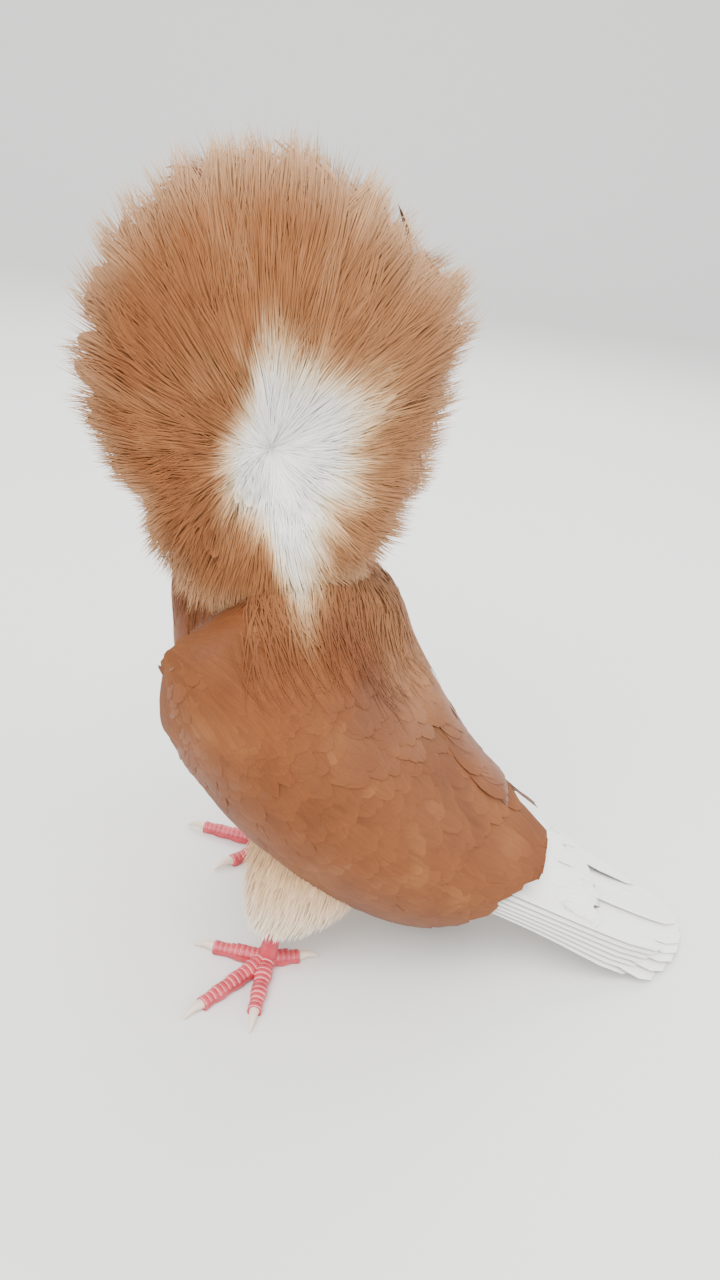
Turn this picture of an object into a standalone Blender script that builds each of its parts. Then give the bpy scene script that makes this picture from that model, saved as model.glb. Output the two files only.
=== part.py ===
"""A jacobin pigeon, standing, life size: body, hooded neck, head, folded wings, tail and scaled feet.

The bird looks along -Y and its left side is at +X. Sizes are in millimetres; skin() turns them into metres.
Body, neck, skull, thighs and toes are skinned over oval sections. Feathers are tapered vanes with a ridge
along the shaft, each laid on a curved surface from its root to its tip and fused with a core at the roots.
"""

import math
import random

import bmesh
import bpy
from mathutils import Matrix, Vector

MM = 0.001
GAP = 0.3  # clear space between two pieces that touch
ACROSS, BACK, UP = Vector((1, 0, 0)), Vector((0, 1, 0)), Vector((0, 0, 1))
SIDES = (("left", 1), ("right", -1))
CHANCE = random.Random(11)
KEPT_SHARE = 0.712  # of the triangles of a feathered piece, once its feathers are fused

# Body: stations from the neck's foot to the rump, each as y, z, half width, depth to back and to belly.
BODY_STATIONS = (
    (-9, 157, 27, 25, 30),
    (-7, 145, 37, 28, 39),
    (1, 123, 46, 29, 39),
    (13, 101, 49, 31, 38),
    (32, 79, 46, 29, 36),
    (57, 60, 39, 23, 28),
    (82, 46, 28, 14, 19),
    (99, 38, 18, 7, 11),
)
BODY_SIDES, BODY_RINGS = 16, 10

# Neck: stations from inside the body to inside the skull, each as y, z, half width, half depth.
NECK_STATIONS = (
    (-11, 140, 33, 34),
    (-12, 160, 32, 33),
    (-14, 178, 27, 28),
    (-17, 200, 21, 22),
    (-19, 220, 18, 19),
    (-22, 236, 15, 16),
    (-25, 248, 12, 13),
)
NECK_SIDES, NECK_RINGS = 12, 7
# Feathers of the throat: number in each row from the top, and where the rows lie as shares of the neck.
THROAT_COUNTS = (3, 4, 3)
THROAT_OFFSETS = (0.46, 0.57, 0.44)
THROAT_TOP, THROAT_STEP, THROAT_LONG = 0.84, 0.22, 0.36
THROAT_HALF_ANGLE, THROAT_FEATHER_HALF = 46, 9.0
THROAT_ROOT_DEPTH, THROAT_TIP_HEIGHT = -3.5, 2.6

# Skull: stations from the bill's root to the back of the head, each as y, z, half width, up, down.
HEAD_STATIONS = (
    (-51, 250, 5.6, 6.2, 5.2),
    (-46, 253, 9.0, 9.2, 8.5),
    (-39, 255, 12.0, 13.0, 12.0),
    (-30, 256, 14.5, 15.5, 15.0),
    (-20, 255, 14.5, 15.5, 16.0),
    (-12, 252, 12.0, 12.5, 13.5),
    (-6, 249, 6.5, 7.0, 7.5),
)
HEAD_SIDES = 14
EYE_CENTRE = (9.0, -35.0, 257.5)
EYE_RADIUS = 5.6
LID_RADIUS, LID_THICKNESS, LID_STAND = 4.3, 1.1, 3.4
LID_SECTIONS, LID_NARROWNESS = 10, 0.88
# Each point: away from the middle of the eye, and away from the head.
LID_PROFILE = ((0.9, -1.6), (1.5, 0), (0, 1), (-0.8, 0))
LID_CLEARANCE = 2.5  # kept free of hood feathers round the eye

BILL_ROOT_Y, BILL_TIP_Y = -48.0, -67.0
MOUTH_Z = 249.0
BILL_HALF_WIDTH = 4.3
BILL_HEIGHTS = (5.6, 4.0)  # upper half, lower half
BILL_DROOP, BILL_SIDES = 1.6, 8
BILL_SHARES = (0.0, 0.25, 0.5, 0.75, 0.93)
BILL_TIP_DROP, BILL_TIP_HALF = 2.2, 0.7  # under the mouth's line, and from there to each half's point
LOWER_BILL_SHORTER = 1.8
NOSTRIL, NOSTRIL_RADIUS = (2.5, -57.5, 252.7), 1.1
CERE_BULB, CERE_RADIUS, CERE_STRETCH = (1.7, -53.5, 253.6), 2.3, 1.45

# The rose is the point on each side of the neck from which the long feathers part.
ROSE = Vector((26, -14.5, 206))
# Reach of the feathers round the rose: angle in degrees (0 back, 90 up, 180 front) and distance.
RIM = (
    (-100, 52),
    (-60, 57),
    (-21, 56),
    (-2, 58),
    (21, 66),
    (37, 79),
    (60, 85),
    (93, 95),
    (112, 93),
    (133, 80),
    (155, 65),
    (177, 50),
    (199, 41),
    (227, 45),
    (255, 51),
    (270, 52),
)
# How far the rim stands from the middle plane at the same angles.
RIM_OUT = ((-100, 34), (-45, 22), (0, 14), (90, 32), (165, 57), (210, 55), (270, 36))
DISH_BULGE = 54.0
FIELD_ROOM = 130.0  # further than any feather reaches
PARTING = 0.4  # degrees kept clear on each side of the line between two fields of feathers
MANE_SPAN, HOOD_SPAN, CHAIN_SPAN = (-97.4, 42), (42, 138), (138, 262.6)
# The dense core of a field: shares of the way to the rim, depth under the dish's face and least thickness.
CORE_SHARES, CORE_DROP, CORE_WALL = (0.03, 0.26, 0.46), 5.6, 9.0
CORE_TO_MIDDLE, CORE_ARC = 0.6, 16  # nearest to the middle plane, and degrees between its sections
# How hollow the core is by angle: at 1 it is only the wall, at 0 it is filled to the middle plane.
CORE_INSIDE = ((-100, 0.6), (-60, 0), (70, 0), (105, 1), (230, 1), (262, 0.8))
CORE_FILL = 60.0  # more than the dish stands from the middle plane
LOCK_THICK, LOCK_BLUNT, LOCK_ROOT = 1.3, 0.62, 0.3
LOCK_LEAN = 0.12  # how far each lock is tipped so that it lies over the next
CROSSING_LEAN = 0.4  # how far a lock that lies across the body still faces sideways

# Wing: rails from the wrist to the tip of the inner feathers, as upper edge, widest line and lower edge.
WING_STATIONS = (
    ((43, -33, 151), (52, -41, 147), (54, -44, 141)),
    ((31, -9, 160), (60, -27, 145), (55, -42, 121)),
    ((13, 30, 152), (64, -2, 125), (53, -33, 102)),
    ((5, 46, 127), (64, 16, 101), (51, -14, 75)),
    ((4, 62, 103), (59, 39, 79), (49, 16, 49)),
    ((5, 78, 82), (52, 62, 61), (45, 46, 32)),
    ((7, 94, 67), (44, 84, 49), (39, 74, 25)),
    ((15, 110, 52), (33, 104, 44), (34, 99, 31)),
)
# The wing's core: its depth under the vanes, and how far it reaches in towards the body from the wrist back.
WING_LENGTH = 190
WING_CORE_EDGE = 0.05  # share of the wing's width left free at each edge
WING_CORE_END, WING_CORE_SWEEP = 0.62, 0.26
WING_CORE_TOP, WING_CORE_FLOOR, CORE_POINTS = 3.2, 5.4, 7
WING_DEPTHS = (32, 30, 26, 18, 9, 3.5, 0.8)
# Rows of vanes: start, reach, how much further both are near the back, how much less the reach is near the
# lower edge, depths of root and tip, half width, number, sections.
WING_ROWS = (
    (0.09, 0.4, 0.0, 0.0, (5.5, 0.2), 8.0, 6, 3),
    (0.34, 0.67, 0.1, 0.0, (6.5, 1.6), 7.6, 6, 3),
    (0.52, 0.99, 0.0, 0.16, (5.0, 3.8), 7.2, 7, 4),
)
VANE_THICK, VANE_LEAN = 1.2, 0.1
WING_VANE_BLUNT, WING_VANE_ROOT = 0.7, 0.85
WING_EDGE = 0.07  # share of the wing's width outside the first and last vane of a row
WING_ROOM = 4.6  # how far the hood's feathers keep above the wing's core

TAIL_ROOT = Vector((0, 88, 42))
TAIL_FEATHERS = 12
TAIL_END_Y, TAIL_END_Z = 182.0, -0.3
TAIL_HALF_SPREAD, TAIL_ROOT_SPREAD, TAIL_SAG = 29.0, 11.0, 3.0
# The block that holds the roots: share of the tail's length, half width, depth above and below.
TAIL_BLOCK = ((0, 15, 5.5, 5), (0.12, 16.7, 3.2, 3.1), (0.22, 18, 1.3, 1.5))
TAIL_FEATHER_HALF, TAIL_TIP_CURVE = 7.0, 9.0
TAIL_STACK, TAIL_STEP = 1.6, 0.25  # height of the middle pair over the outer, and of every other feather
TAIL_LEAN = 0.14

# Primaries: the block that holds their roots, then the tips of the upper and the lowest feather.
PRIMARY_FEATHERS, PRIMARY_HALF = 6, 5.6
PRIMARY_BLOCK_ALONG, PRIMARY_BLOCK_ACROSS = (0.6, 0.68, 0.78), (0.3, 0.5, 0.7, 0.88)
PRIMARY_BLOCK_DEPTHS = (7.4, 11.0)
PRIMARY_TIPS = (Vector((26, 166, 14.5)), Vector((38, 130, 5)))
# Where the upper and the lowest feather lie across the wing, and along and under it at root and middle.
PRIMARY_ACROSS = (0.36, 0.84)
PRIMARY_ROOT, PRIMARY_MIDDLE = (0.66, 9.2), (0.88, 8.4)
PRIMARY_END_FACE = Vector((0.35, 0.25, 1)).normalized()

LEG_X = 37.0
THIGH_STATIONS = (
    (36.5, 2, 19, 6.0, 6.0),
    (36, 5, 25, 11, 13),
    (35, 10, 35, 14, 20),
    (31, 14, 50, 15, 24),
    (26, 16, 68, 14, 22),
)
TARSUS_RADIUS, ANKLE_RADIUS = 3.4, 4.2
ANKLE_Z = 3.2
PAD_RADIUS, PAD_DROP = 4.9, 0.6
# Plates on the front of the leg: number, length, half width, height.
TARSUS_SCUTES, TARSUS_SCUTE = 3, (4.2, 2.6, 0.8)
# Toes: heading in degrees from straight ahead, outward positive, length to the claw's root, number of scutes.
TOES = {
    "left": ((-16, 22, 3), (46, 34, 5), (82, 27, 4), (195, 13, 1)),
    "right": ((-35, 22, 3), (20, 34, 5), (58, 27, 4), (200, 13, 1)),
}
TOE_RADIUS, TOE_FALL = (3.9, 2.7), 1.3
TOE_SCUTE_LONG, TOE_SCUTE_WIDE, TOE_SCUTE_HIGH = 0.8, 0.75, 0.5
CLAW_LENGTH, CLAW_DROP = 9.0, 1.6
CLAW_RADII = (2.0, 1.9, 1.5, 1.0, 0.3)


def clear_scene():
    for obj in list(bpy.data.objects):
        bpy.data.objects.remove(obj)


def finish(name, colour, roughness):
    """A Principled material from an sRGB hex colour."""
    made = bpy.data.materials.new(name)
    made.use_nodes = True
    shader = made.node_tree.nodes["Principled BSDF"]
    parts = [int(colour[i : i + 2], 16) / 255 for i in (0, 2, 4)]
    linear = [((c + 0.055) / 1.055) ** 2.4 if c > 0.04045 else c / 12.92 for c in parts]
    shader.inputs["Base Color"].default_value = (*linear, 1)
    shader.inputs["Roughness"].default_value = roughness
    shader.inputs["Metallic"].default_value = 0
    return made


def smooth_through(points, share):
    """The point at share (0 to 1) of a Catmull-Rom curve through tuples or vectors of any length."""
    last = len(points) - 1
    place = min(max(share, 0), 1) * last
    i = min(int(place), last - 1)
    f = place - i
    a, b, c, d = (points[min(max(k, 0), last)] for k in (i - 1, i, i + 1, i + 2))
    return tuple(
        0.5 * (2 * q + (r - p) * f + (2 * p - 5 * q + 4 * r - s) * f * f + (3 * q - p - 3 * r + s) * f**3)
        for p, q, r, s in zip(a, b, c, d)
    )


def level_between(marks, at):
    """The value at a place between marks of place and value, eased from one to the next."""
    for (a, low), (b, high) in zip(marks, marks[1:]):
        if at <= b:
            f = (1 - math.cos(math.pi * max(at - a, 0) / (b - a))) / 2
            return low + (high - low) * f
    return marks[-1][1]


def mirrored(point, side):
    return Vector((point[0] * side, point[1], point[2]))


def skin(name, rings, material=None, start=None, end=None):
    """A closed solid over rings of points with an even number of sides.

    An end is closed by a strip from the first and last points of its ring to the two in the middle, or runs
    to the point given. Each four-sided face is split from an even point of one ring to an odd point of the
    next, so that the two faces of a thin vane are split alike.
    """
    shape = bmesh.new()
    rows = [[shape.verts.new(Vector(p) * MM) for p in ring] for ring in rings]
    around = len(rows[0])
    for low, high in zip(rows, rows[1:]):
        for i in range(around):
            j = (i + 1) % around
            if i % 2 == 0:
                shape.faces.new((low[i], low[j], high[j]))
                shape.faces.new((low[i], high[j], high[i]))
            else:
                shape.faces.new((low[i], low[j], high[i]))
                shape.faces.new((low[j], high[j], high[i]))
    for row, tip in ((rows[0], start), (rows[-1], end)):
        if tip is None:
            for i in range(around // 2 - 1):
                shape.faces.new((row[i], row[i + 1], row[-2 - i], row[-1 - i]))
            continue
        hub = shape.verts.new(Vector(tip) * MM)
        for i in range(around):
            shape.faces.new((row[i], row[(i + 1) % around], hub))
    bmesh.ops.recalc_face_normals(shape, faces=shape.faces)
    bmesh.ops.triangulate(shape, faces=shape.faces)
    mesh = bpy.data.meshes.new(name)
    shape.to_mesh(mesh)
    shape.free()
    obj = bpy.data.objects.new(name, mesh)
    bpy.context.scene.collection.objects.link(obj)
    if material:
        mesh.materials.append(material)
    return obj


def turn_diagonal(shape, edge):
    """Where four triangles meet along an edge, gives two that lie in one plane their other diagonal."""
    a, b = edge.verts
    for first in edge.link_faces:
        order = list(first.verts)
        if order[(order.index(a) + 1) % 3] != b:
            continue
        for second in edge.link_faces:
            corners = list(second.verts)
            if corners[(corners.index(b) + 1) % 3] != a or first.normal.dot(second.normal) < 0.999:
                continue
            c = next(v for v in order if v not in (a, b))
            d = next(v for v in corners if v not in (a, b))
            near = (d.co - a.co).cross(c.co - a.co).dot(first.normal)
            far = (b.co - d.co).cross(c.co - d.co).dot(first.normal)
            if near > 0 and far > 0 and not shape.edges.get((c, d)):
                bmesh.ops.delete(shape, geom=[first, second], context="FACES_ONLY")
                shape.faces.new((a, d, c))
                shape.faces.new((d, b, c))
                return


def bake(obj):
    """Puts the modifiers' result in the mesh and keeps only its largest closed surface."""
    graph = bpy.context.evaluated_depsgraph_get()
    mesh = bpy.data.meshes.new_from_object(obj.evaluated_get(graph))
    obj.modifiers.clear()
    obj.data = mesh
    shape = bmesh.new()
    shape.from_mesh(mesh)
    unseen = set(shape.faces)
    bodies = []
    while unseen:
        stack = [unseen.pop()]
        body = list(stack)
        while stack:
            for edge in stack.pop().edges:
                for face in edge.link_faces:
                    if face in unseen:
                        unseen.remove(face)
                        stack.append(face)
                        body.append(face)
        bodies.append(body)
    bodies.sort(key=lambda faces: sum(f.calc_area() for f in faces))
    scrap = [face for body in bodies[:-1] for face in body]
    bmesh.ops.delete(shape, geom=scrap, context="FACES")
    bmesh.ops.triangulate(shape, faces=shape.faces)
    for edge in [e for e in shape.edges if len(e.link_faces) > 2]:
        turn_diagonal(shape, edge)
    shape.to_mesh(mesh)
    shape.free()


def group_step(obj, others, operation):
    """One Boolean of obj with a group of closed pieces, which are then removed."""
    group = bpy.data.collections.new("pieces")
    bpy.context.scene.collection.children.link(group)
    for other in others:
        bpy.context.scene.collection.objects.unlink(other)
        group.objects.link(other)
    step = obj.modifiers.new(operation.lower(), "BOOLEAN")
    step.operation = operation
    step.solver = "MANIFOLD"
    step.operand_type = "COLLECTION"
    step.collection = group
    bake(obj)
    for other in others:
        bpy.data.objects.remove(other)
    bpy.data.collections.remove(group)


def fuse(obj, others):
    group_step(obj, others, "UNION")


def cut(obj, *others):
    group_step(obj, others, "DIFFERENCE")


def thin_out(obj):
    """Takes out the triangles that matter least to the shape where many feathers cross."""
    step = obj.modifiers.new("fewer", "DECIMATE")
    step.ratio = KEPT_SHARE
    bake(obj)


def oval(centre, side, up, half_width, above, below, sides):
    """A ring of points; it reaches above along up, below against it, and half_width to both sides."""
    ring = []
    for i in range(sides):
        turn = 2 * math.pi * i / sides
        rise = math.sin(turn)
        height = rise * (above if rise > 0 else below)
        ring.append(centre + side * (half_width * math.cos(turn)) + up * height)
    return ring


def column(stations, sides, swell, steps):
    """Rings of a body of oval sections whose centres lie in the middle plane; swell makes it fatter."""
    rings = []
    for k in range(steps + 1):
        share = k / steps
        y, z, half, above, below = smooth_through(stations, share)
        y0, z0 = smooth_through(stations, share - 0.01)[:2]
        y1, z1 = smooth_through(stations, share + 0.01)[:2]
        along = Vector((0, y1 - y0, z1 - z0)).normalized()
        dorsal = Vector((0, -along.z, along.y))
        reach = (half + swell, above + swell, below + swell)
        rings.append(oval(Vector((0, y, z)), ACROSS, dorsal, *reach, sides))
    for ring, inwards in ((rings[0], rings[1]), (rings[-1], rings[-2])):
        way = (sum(ring, Vector()) - sum(inwards, Vector())).normalized()
        for i, point in enumerate(ring):
            ring[i] = point + way * swell
    return rings


def torso(material=None, swell=0.0):
    return skin("torso", column(BODY_STATIONS, BODY_SIDES, swell, BODY_RINGS), material)


def neck(material=None, swell=0.0):
    stations = [(y, z, half, depth, depth) for y, z, half, depth in NECK_STATIONS]
    return skin("neck", column(stations, NECK_SIDES, swell, NECK_RINGS), material)


def throat_feathers(swell=0.0):
    """Rows of short feathers down the front of the neck, between the two sides of the chain."""
    feathers = []
    for row, count in enumerate(THROAT_COUNTS):
        for i in range(count):
            turn = math.radians(THROAT_HALF_ANGLE * ((i + THROAT_OFFSETS[row]) / count * 2 - 1))
            out = Vector((math.sin(turn), -math.cos(turn), 0))
            path = []
            for t in vane_shares(3):
                place = THROAT_TOP - THROAT_STEP * row - THROAT_LONG * t
                y, z, half, depth = smooth_through(NECK_STATIONS, place)
                stand = THROAT_ROOT_DEPTH + (THROAT_TIP_HEIGHT - THROAT_ROOT_DEPTH) * t
                path.append(Vector((half * out.x, y + depth * out.y, z)) + out * stand)
            facing = (out + UP * 0.3).normalized()
            path[-1] += (path[-1] - path[-2]).normalized() * swell * 2
            half = THROAT_FEATHER_HALF + swell * 2
            feathers.append(vane(path, [facing] * len(path), half, LOCK_THICK + swell * 2, 0.65, 0.6))
    return feathers


def head(material=None, swell=0.0):
    rings = []
    for y, z, half, up, down in HEAD_STATIONS:
        rings.append(oval(Vector((0, y, z)), ACROSS, UP, half + swell, up + swell, down + swell, HEAD_SIDES))
    rings[0] = [p - BACK * swell for p in rings[0]]
    rings[-1] = [p + BACK * swell for p in rings[-1]]
    last = HEAD_STATIONS[-1]
    return skin("head", rings, material, end=Vector((0, last[0] + 3 + 2 * swell, last[1])))


def ball(name, centre, radius, material=None, sides=12):
    rings = []
    for k in range(1, sides // 2):
        lean = 2 * math.pi * k / sides
        level = ACROSS * radius * math.cos(lean)
        rings.append(oval(centre + level, BACK, UP, *[radius * math.sin(lean)] * 3, sides))
    pole = ACROSS * radius
    return skin(name, rings, material, start=centre + pole, end=centre - pole)


def eye_socket(side, swell=GAP):
    return ball("socket", mirrored(EYE_CENTRE, side), EYE_RADIUS + swell)


def lids(side):
    """Upper and lower lid: a raised ring round the eye, open over the iris."""
    rings = []
    centre = mirrored(EYE_CENTRE, side)
    away = ACROSS * side
    for k in range(LID_SECTIONS):
        turn = 2 * math.pi * (k + 0.3) / LID_SECTIONS
        way = BACK * math.cos(turn) + UP * math.sin(turn) * LID_NARROWNESS
        hub = centre + way * LID_RADIUS + away * LID_STAND
        rings.append([hub + (way * a + away * b) * LID_THICKNESS for a, b in LID_PROFILE])
    return torus("lids", rings)


def torus(name, rows):
    """A closed ring-shaped solid over sections, the last of which is joined to the first."""
    shape = bmesh.new()
    sections = [[shape.verts.new(p * MM) for p in row] for row in rows]
    count, around = len(sections), len(sections[0])
    for k in range(count):
        low, high = sections[k], sections[(k + 1) % count]
        for i in range(around):
            j = (i + 1) % around
            shape.faces.new((low[i], low[j], high[j], high[i]))
    bmesh.ops.recalc_face_normals(shape, faces=shape.faces)
    bmesh.ops.triangulate(shape, faces=shape.faces)
    mesh = bpy.data.meshes.new(name)
    shape.to_mesh(mesh)
    shape.free()
    obj = bpy.data.objects.new(name, mesh)
    bpy.context.scene.collection.objects.link(obj)
    return obj


def bill_section(share):
    """Middle of the mouth line at a share of the bill's length, and how much of the thickness is left."""
    y = BILL_ROOT_Y + (BILL_TIP_Y - BILL_ROOT_Y) * share
    return Vector((0, y, MOUTH_Z - BILL_DROOP * share**2)), math.sqrt(1 - share * 0.93)


def bill_half(name, way, height, material):
    """One half of the bill, flat at the line of the mouth; way is 1 for the upper half, -1 for the lower."""
    rings = []
    for share in BILL_SHARES:
        middle, thin = bill_section(share)
        middle += UP * (way * GAP / 2)
        ring = []
        for i in range(BILL_SIDES):
            turn = math.pi * i / (BILL_SIDES - 1)
            reach = ACROSS * BILL_HALF_WIDTH * math.cos(turn) + UP * way * height * math.sin(turn)
            ring.append(middle + reach * thin)
        rings.append(ring)
    tip = Vector((0, BILL_TIP_Y, MOUTH_Z - BILL_TIP_DROP + way * BILL_TIP_HALF))
    if way < 0:
        tip += BACK * LOWER_BILL_SHORTER
    made = skin(name, rings, material, end=tip)
    cut(made, head(None, GAP))
    return made


def bill(horn, chalk):
    """Bill in two halves, with a nostril on each side and the two bulbs of the cere over them."""
    upper = bill_half("bill_upper", 1, BILL_HEIGHTS[0], horn)
    bill_half("bill_lower", -1, BILL_HEIGHTS[1], horn)
    bulbs = []
    hollows = []
    for side in (1, -1):
        bulb = ball("bulb", mirrored(CERE_BULB, side), CERE_RADIUS, sides=8)
        bulb.data.transform(stretch(CERE_BULB, side))
        bulbs.append(bulb)
        hollows.append(ball("hollow", mirrored(NOSTRIL, side), NOSTRIL_RADIUS, sides=8))
    cut(upper, *hollows)
    cere = bulbs[0]
    cere.name = "cere"
    cere.data.materials.append(chalk)
    fuse(cere, bulbs[1:])
    room = []
    for share in BILL_SHARES:
        middle, thin = bill_section(share)
        wide, high = BILL_HALF_WIDTH * thin + GAP, BILL_HEIGHTS[0] * thin + GAP
        room.append(oval(middle, ACROSS, UP, wide, high, 1, 16))
    cut(cere, skin("bill_room", room), head(None, GAP))


def stretch(centre, side):
    """A matrix that makes a bulb of the cere longer along the bill, about its own centre."""
    place = mirrored(centre, side) * MM
    longer = Matrix.Scale(CERE_STRETCH, 4, BACK)
    return Matrix.Translation(place) @ longer @ Matrix.Translation(-place)


def eyes(material):
    for name, side in SIDES:
        ball("eye_" + name, mirrored(EYE_CENTRE, side), EYE_RADIUS, material)


def head_piece(material):
    made = head(material)
    fuse(made, [lids(1), lids(-1)])
    cut(made, eye_socket(1), eye_socket(-1))
    return made


def dish(share, angle, inward=0.0):
    """A point of the hood's outer face, share 0 at the rose, 1 at the rim; inward 1 is near the middle."""
    turn = math.radians(angle)
    far = level_between(RIM, angle) * share
    rim_out = level_between(RIM_OUT, angle)
    out = ROSE.x * (1 - share) ** 2 + 2 * share * (1 - share) * DISH_BULGE + share**2 * rim_out
    out += (4.0 - out) * inward
    return Vector((out, ROSE.y + far * math.cos(turn), ROSE.z + far * math.sin(turn)))


def vane(path, faces, half, thick, blunt=0.62, narrow=0.62):
    """A flat feather along path, tapered and thinned to its tip; its upper face looks along faces.

    half and thick are the width from the shaft to the edge and the thickness at the shaft; blunt is how much
    of the width is left just before the tip, and narrow how much of it the root has.
    """
    rings = []
    last = len(path) - 1
    for k in range(last):
        along = (path[k + 1] - path[max(k - 1, 0)]).normalized()
        side = along.cross(faces[k]).normalized()
        up = side.cross(along)
        share = k / (last - 1)
        width = half * (narrow + (1 - narrow) * min(1.0, share * 1.6))
        if k == last - 1:
            width *= blunt
        deep = thick * (1 - 0.45 * share) / 2
        reach, rise = side * width, up * deep
        rings.append([path[k] - reach, path[k] + rise, path[k] + reach, path[k] - rise])
    return skin("vane", rings, end=path[-1])


def vane_shares(steps):
    """Where the sections of a vane lie; the last but one is close to the tip, which makes the end round."""
    return [0.9 * k / (steps - 1) for k in range(steps)] + [1.0]


def outward(place, s, angle, inward):
    """The direction that the dish faces at a point, found from two near points."""
    a = dish(s + 0.02, angle, inward) - place
    b = dish(s, angle + 2, inward) - place
    face = a.cross(b).normalized()
    return face if face.x > 0 else -face


def hood_lock(side, angle, root, tip, bend, inward, depths, half, steps, spans):
    """One lock of the hood, from root to tip (shares of the way to the rim), turned by bend degrees.

    inward and depths hold a value for the root and one for the tip; depths are how far under the dish's face
    they lie. A lock that spans lies across the body, as near the middle plane; any other faces sideways.
    """
    path, sideways = [], []
    for f in vane_shares(steps):
        s = root + (tip - root) * f
        at = angle + bend * f**1.5
        close = inward[0] + (inward[1] - inward[0]) * f
        place = dish(s, at, close)
        face = outward(place, s, at, close)
        lean = (dish(s, at + 3, close) - place).normalized() * LOCK_LEAN
        path.append(place - face * (depths[1] + (depths[0] - depths[1]) * (1 - f) ** 1.6))
        sideways.append(face + lean)
    faces = []
    for k, face in enumerate(sideways):
        along = path[min(k + 1, steps)] - path[max(k - 1, 0)]
        faces.append(along.cross(ACROSS).normalized() + face * CROSSING_LEAN if spans else face)
    path = [mirrored(p, side) for p in path]
    faces = [mirrored(f, side) for f in faces]
    return vane(path, faces, half, LOCK_THICK, LOCK_BLUNT, LOCK_ROOT)


def field_core(span, side):
    """The dense part of one field of feathers, from the neck to less than half way to the rim."""
    start, end = span
    steps = max(3, round((end - start) / CORE_ARC))
    rings = []
    for k in range(steps + 1):
        angle = start + (end - start) * k / steps
        outer = []
        for share in CORE_SHARES:
            place = dish(share, angle)
            outer.append(place - outward(place, share, angle, 0.0) * CORE_DROP)
        inner = []
        for point in reversed(outer):
            thickness = CORE_WALL + (1 - level_between(CORE_INSIDE, angle)) * CORE_FILL
            inner.append(Vector((max(CORE_TO_MIDDLE, point.x - thickness), point.y, point.z)))
        rings.append([mirrored(p, side) for p in outer + inner])
    return skin("core", rings)


def wedge(span, side):
    """All the room of one field on one side of the middle plane."""
    start, end = span[0] + PARTING, span[1] - PARTING
    steps = max(2, round((end - start) / 20))
    arc = [ROSE * 1.0]
    for k in range(steps + 1):
        turn = math.radians(start + (end - start) * k / steps)
        arc.append(ROSE + Vector((0, math.cos(turn), math.sin(turn))) * FIELD_ROOM)
    if len(arc) % 2:
        arc.append(arc[-1].lerp(ROSE, 0.5))  # skin() needs an even number
    near = [mirrored((GAP / 2, p.y, p.z), side) for p in arc]
    far = [mirrored((FIELD_ROOM, p.y, p.z), side) for p in arc]
    return skin("wedge", [near, far])


def tier(span, side, count, root, tip, inward, depths, half, steps, bend=0.0, spread=0.05, trim=None):
    """A row of locks side by side across a field, each a little different."""
    start, end = (span[0] + trim[0], span[1] - trim[1]) if trim else span
    locks = []
    for i in range(count):
        angle = start + (end - start) * (i + 0.4) / (count - 0.2) + CHANCE.uniform(-0.8, 0.8)
        reach = tip * (1 - CHANCE.uniform(0, spread))
        turn = bend + CHANCE.uniform(-2, 2)
        shape = (turn, inward, depths, half, steps, bool(trim))
        locks.append(hood_lock(side, angle - bend * 0.7, root, reach, *shape))
    return locks


def field(name, span, side, material, rows):
    made = field_core(span, side)
    made.name = name
    made.data.materials.append(material)
    locks = []
    for row in rows:
        locks += tier(span, side, *row)
    fuse(made, locks)
    thin_out(made)
    group_step(made, [wedge(span, side)], "INTERSECT")
    others = (neck(None, GAP), head(None, GAP), torso(None, GAP), lid_room(side))
    cut(made, *others, *throat_feathers(GAP), wing_core("wing_room", side, None, WING_ROOM))


def lid_room(side):
    return ball("lid_room", mirrored(EYE_CENTRE, side), EYE_RADIUS + LID_CLEARANCE, sides=10)


def coats(material):
    """Hood over the head, mane down the back of the neck and chain in front, on each side."""
    # Each row: number, root, tip, inward, depths, half width, steps, bend, spread, trim at the two ends.
    level, crown = (0.0, 0.0), (0.8, 1.0)
    hood_rows = (
        (9, 0.36, 1.0, level, (9.5, 4.2), 8.8, 3),
        (5, 0.26, 0.78, level, (8.0, 2.1), 9.6, 3),
        (3, 0.12, 0.52, level, (6.5, 0.2), 9.6, 3),
        (3, 0.4, 0.97, (0.3, 0.42), (5, 0), 9.6, 3, 26.0, 0.04, (0, 30)),
        (4, 0.4, 0.97, (0.55, 0.72), (3, 0), 9.0, 3, 32.0, 0.04, (0, 40)),
        (4, 0.4, 0.97, crown, (3, 0), 8.6, 3, 36.0, 0.04, (0, 40)),
    )
    mane_rows = (
        (8, 0.36, 1.0, level, (9.5, 4.2), 9.2, 3),
        (5, 0.26, 0.76, level, (8.0, 2.1), 9.2, 3),
        (3, 0.12, 0.52, level, (6.5, 0.2), 9.2, 3),
        (4, 0.4, 1.0, (0.45, 0.6), (5, 0), 9.4, 3, -26.0, 0.04, (40, 0)),
        (4, 0.4, 1.0, crown, (3, 0), 9.2, 3, -30.0, 0.04, (40, 0)),
    )
    chain_rows = (
        (8, 0.36, 1.0, level, (9.5, 4.2), 8.8, 3),
        (5, 0.26, 0.76, level, (8.0, 2.1), 9.0, 3),
        (3, 0.12, 0.52, level, (6.5, 0.2), 9.4, 3),
        (4, 0.36, 0.94, (0.15, 0.3), (5, 0), 9.4, 3, 10.0, 0.05, (0, 4)),
        (4, 0.36, 0.9, (0.25, 0.62), (4, 0), 8.8, 3, 20.0, 0.05, (30, 4)),
        (3, 0.36, 0.86, (0.3, 0.86), (4, 0), 9.6, 3, 26.0, 0.05, (44, 4)),
    )
    for name, side in SIDES:
        field("hood_" + name, HOOD_SPAN, side, material, hood_rows)
        field("mane_" + name, MANE_SPAN, side, material, mane_rows)
        field("chain_" + name, CHAIN_SPAN, side, material, chain_rows)


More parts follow.
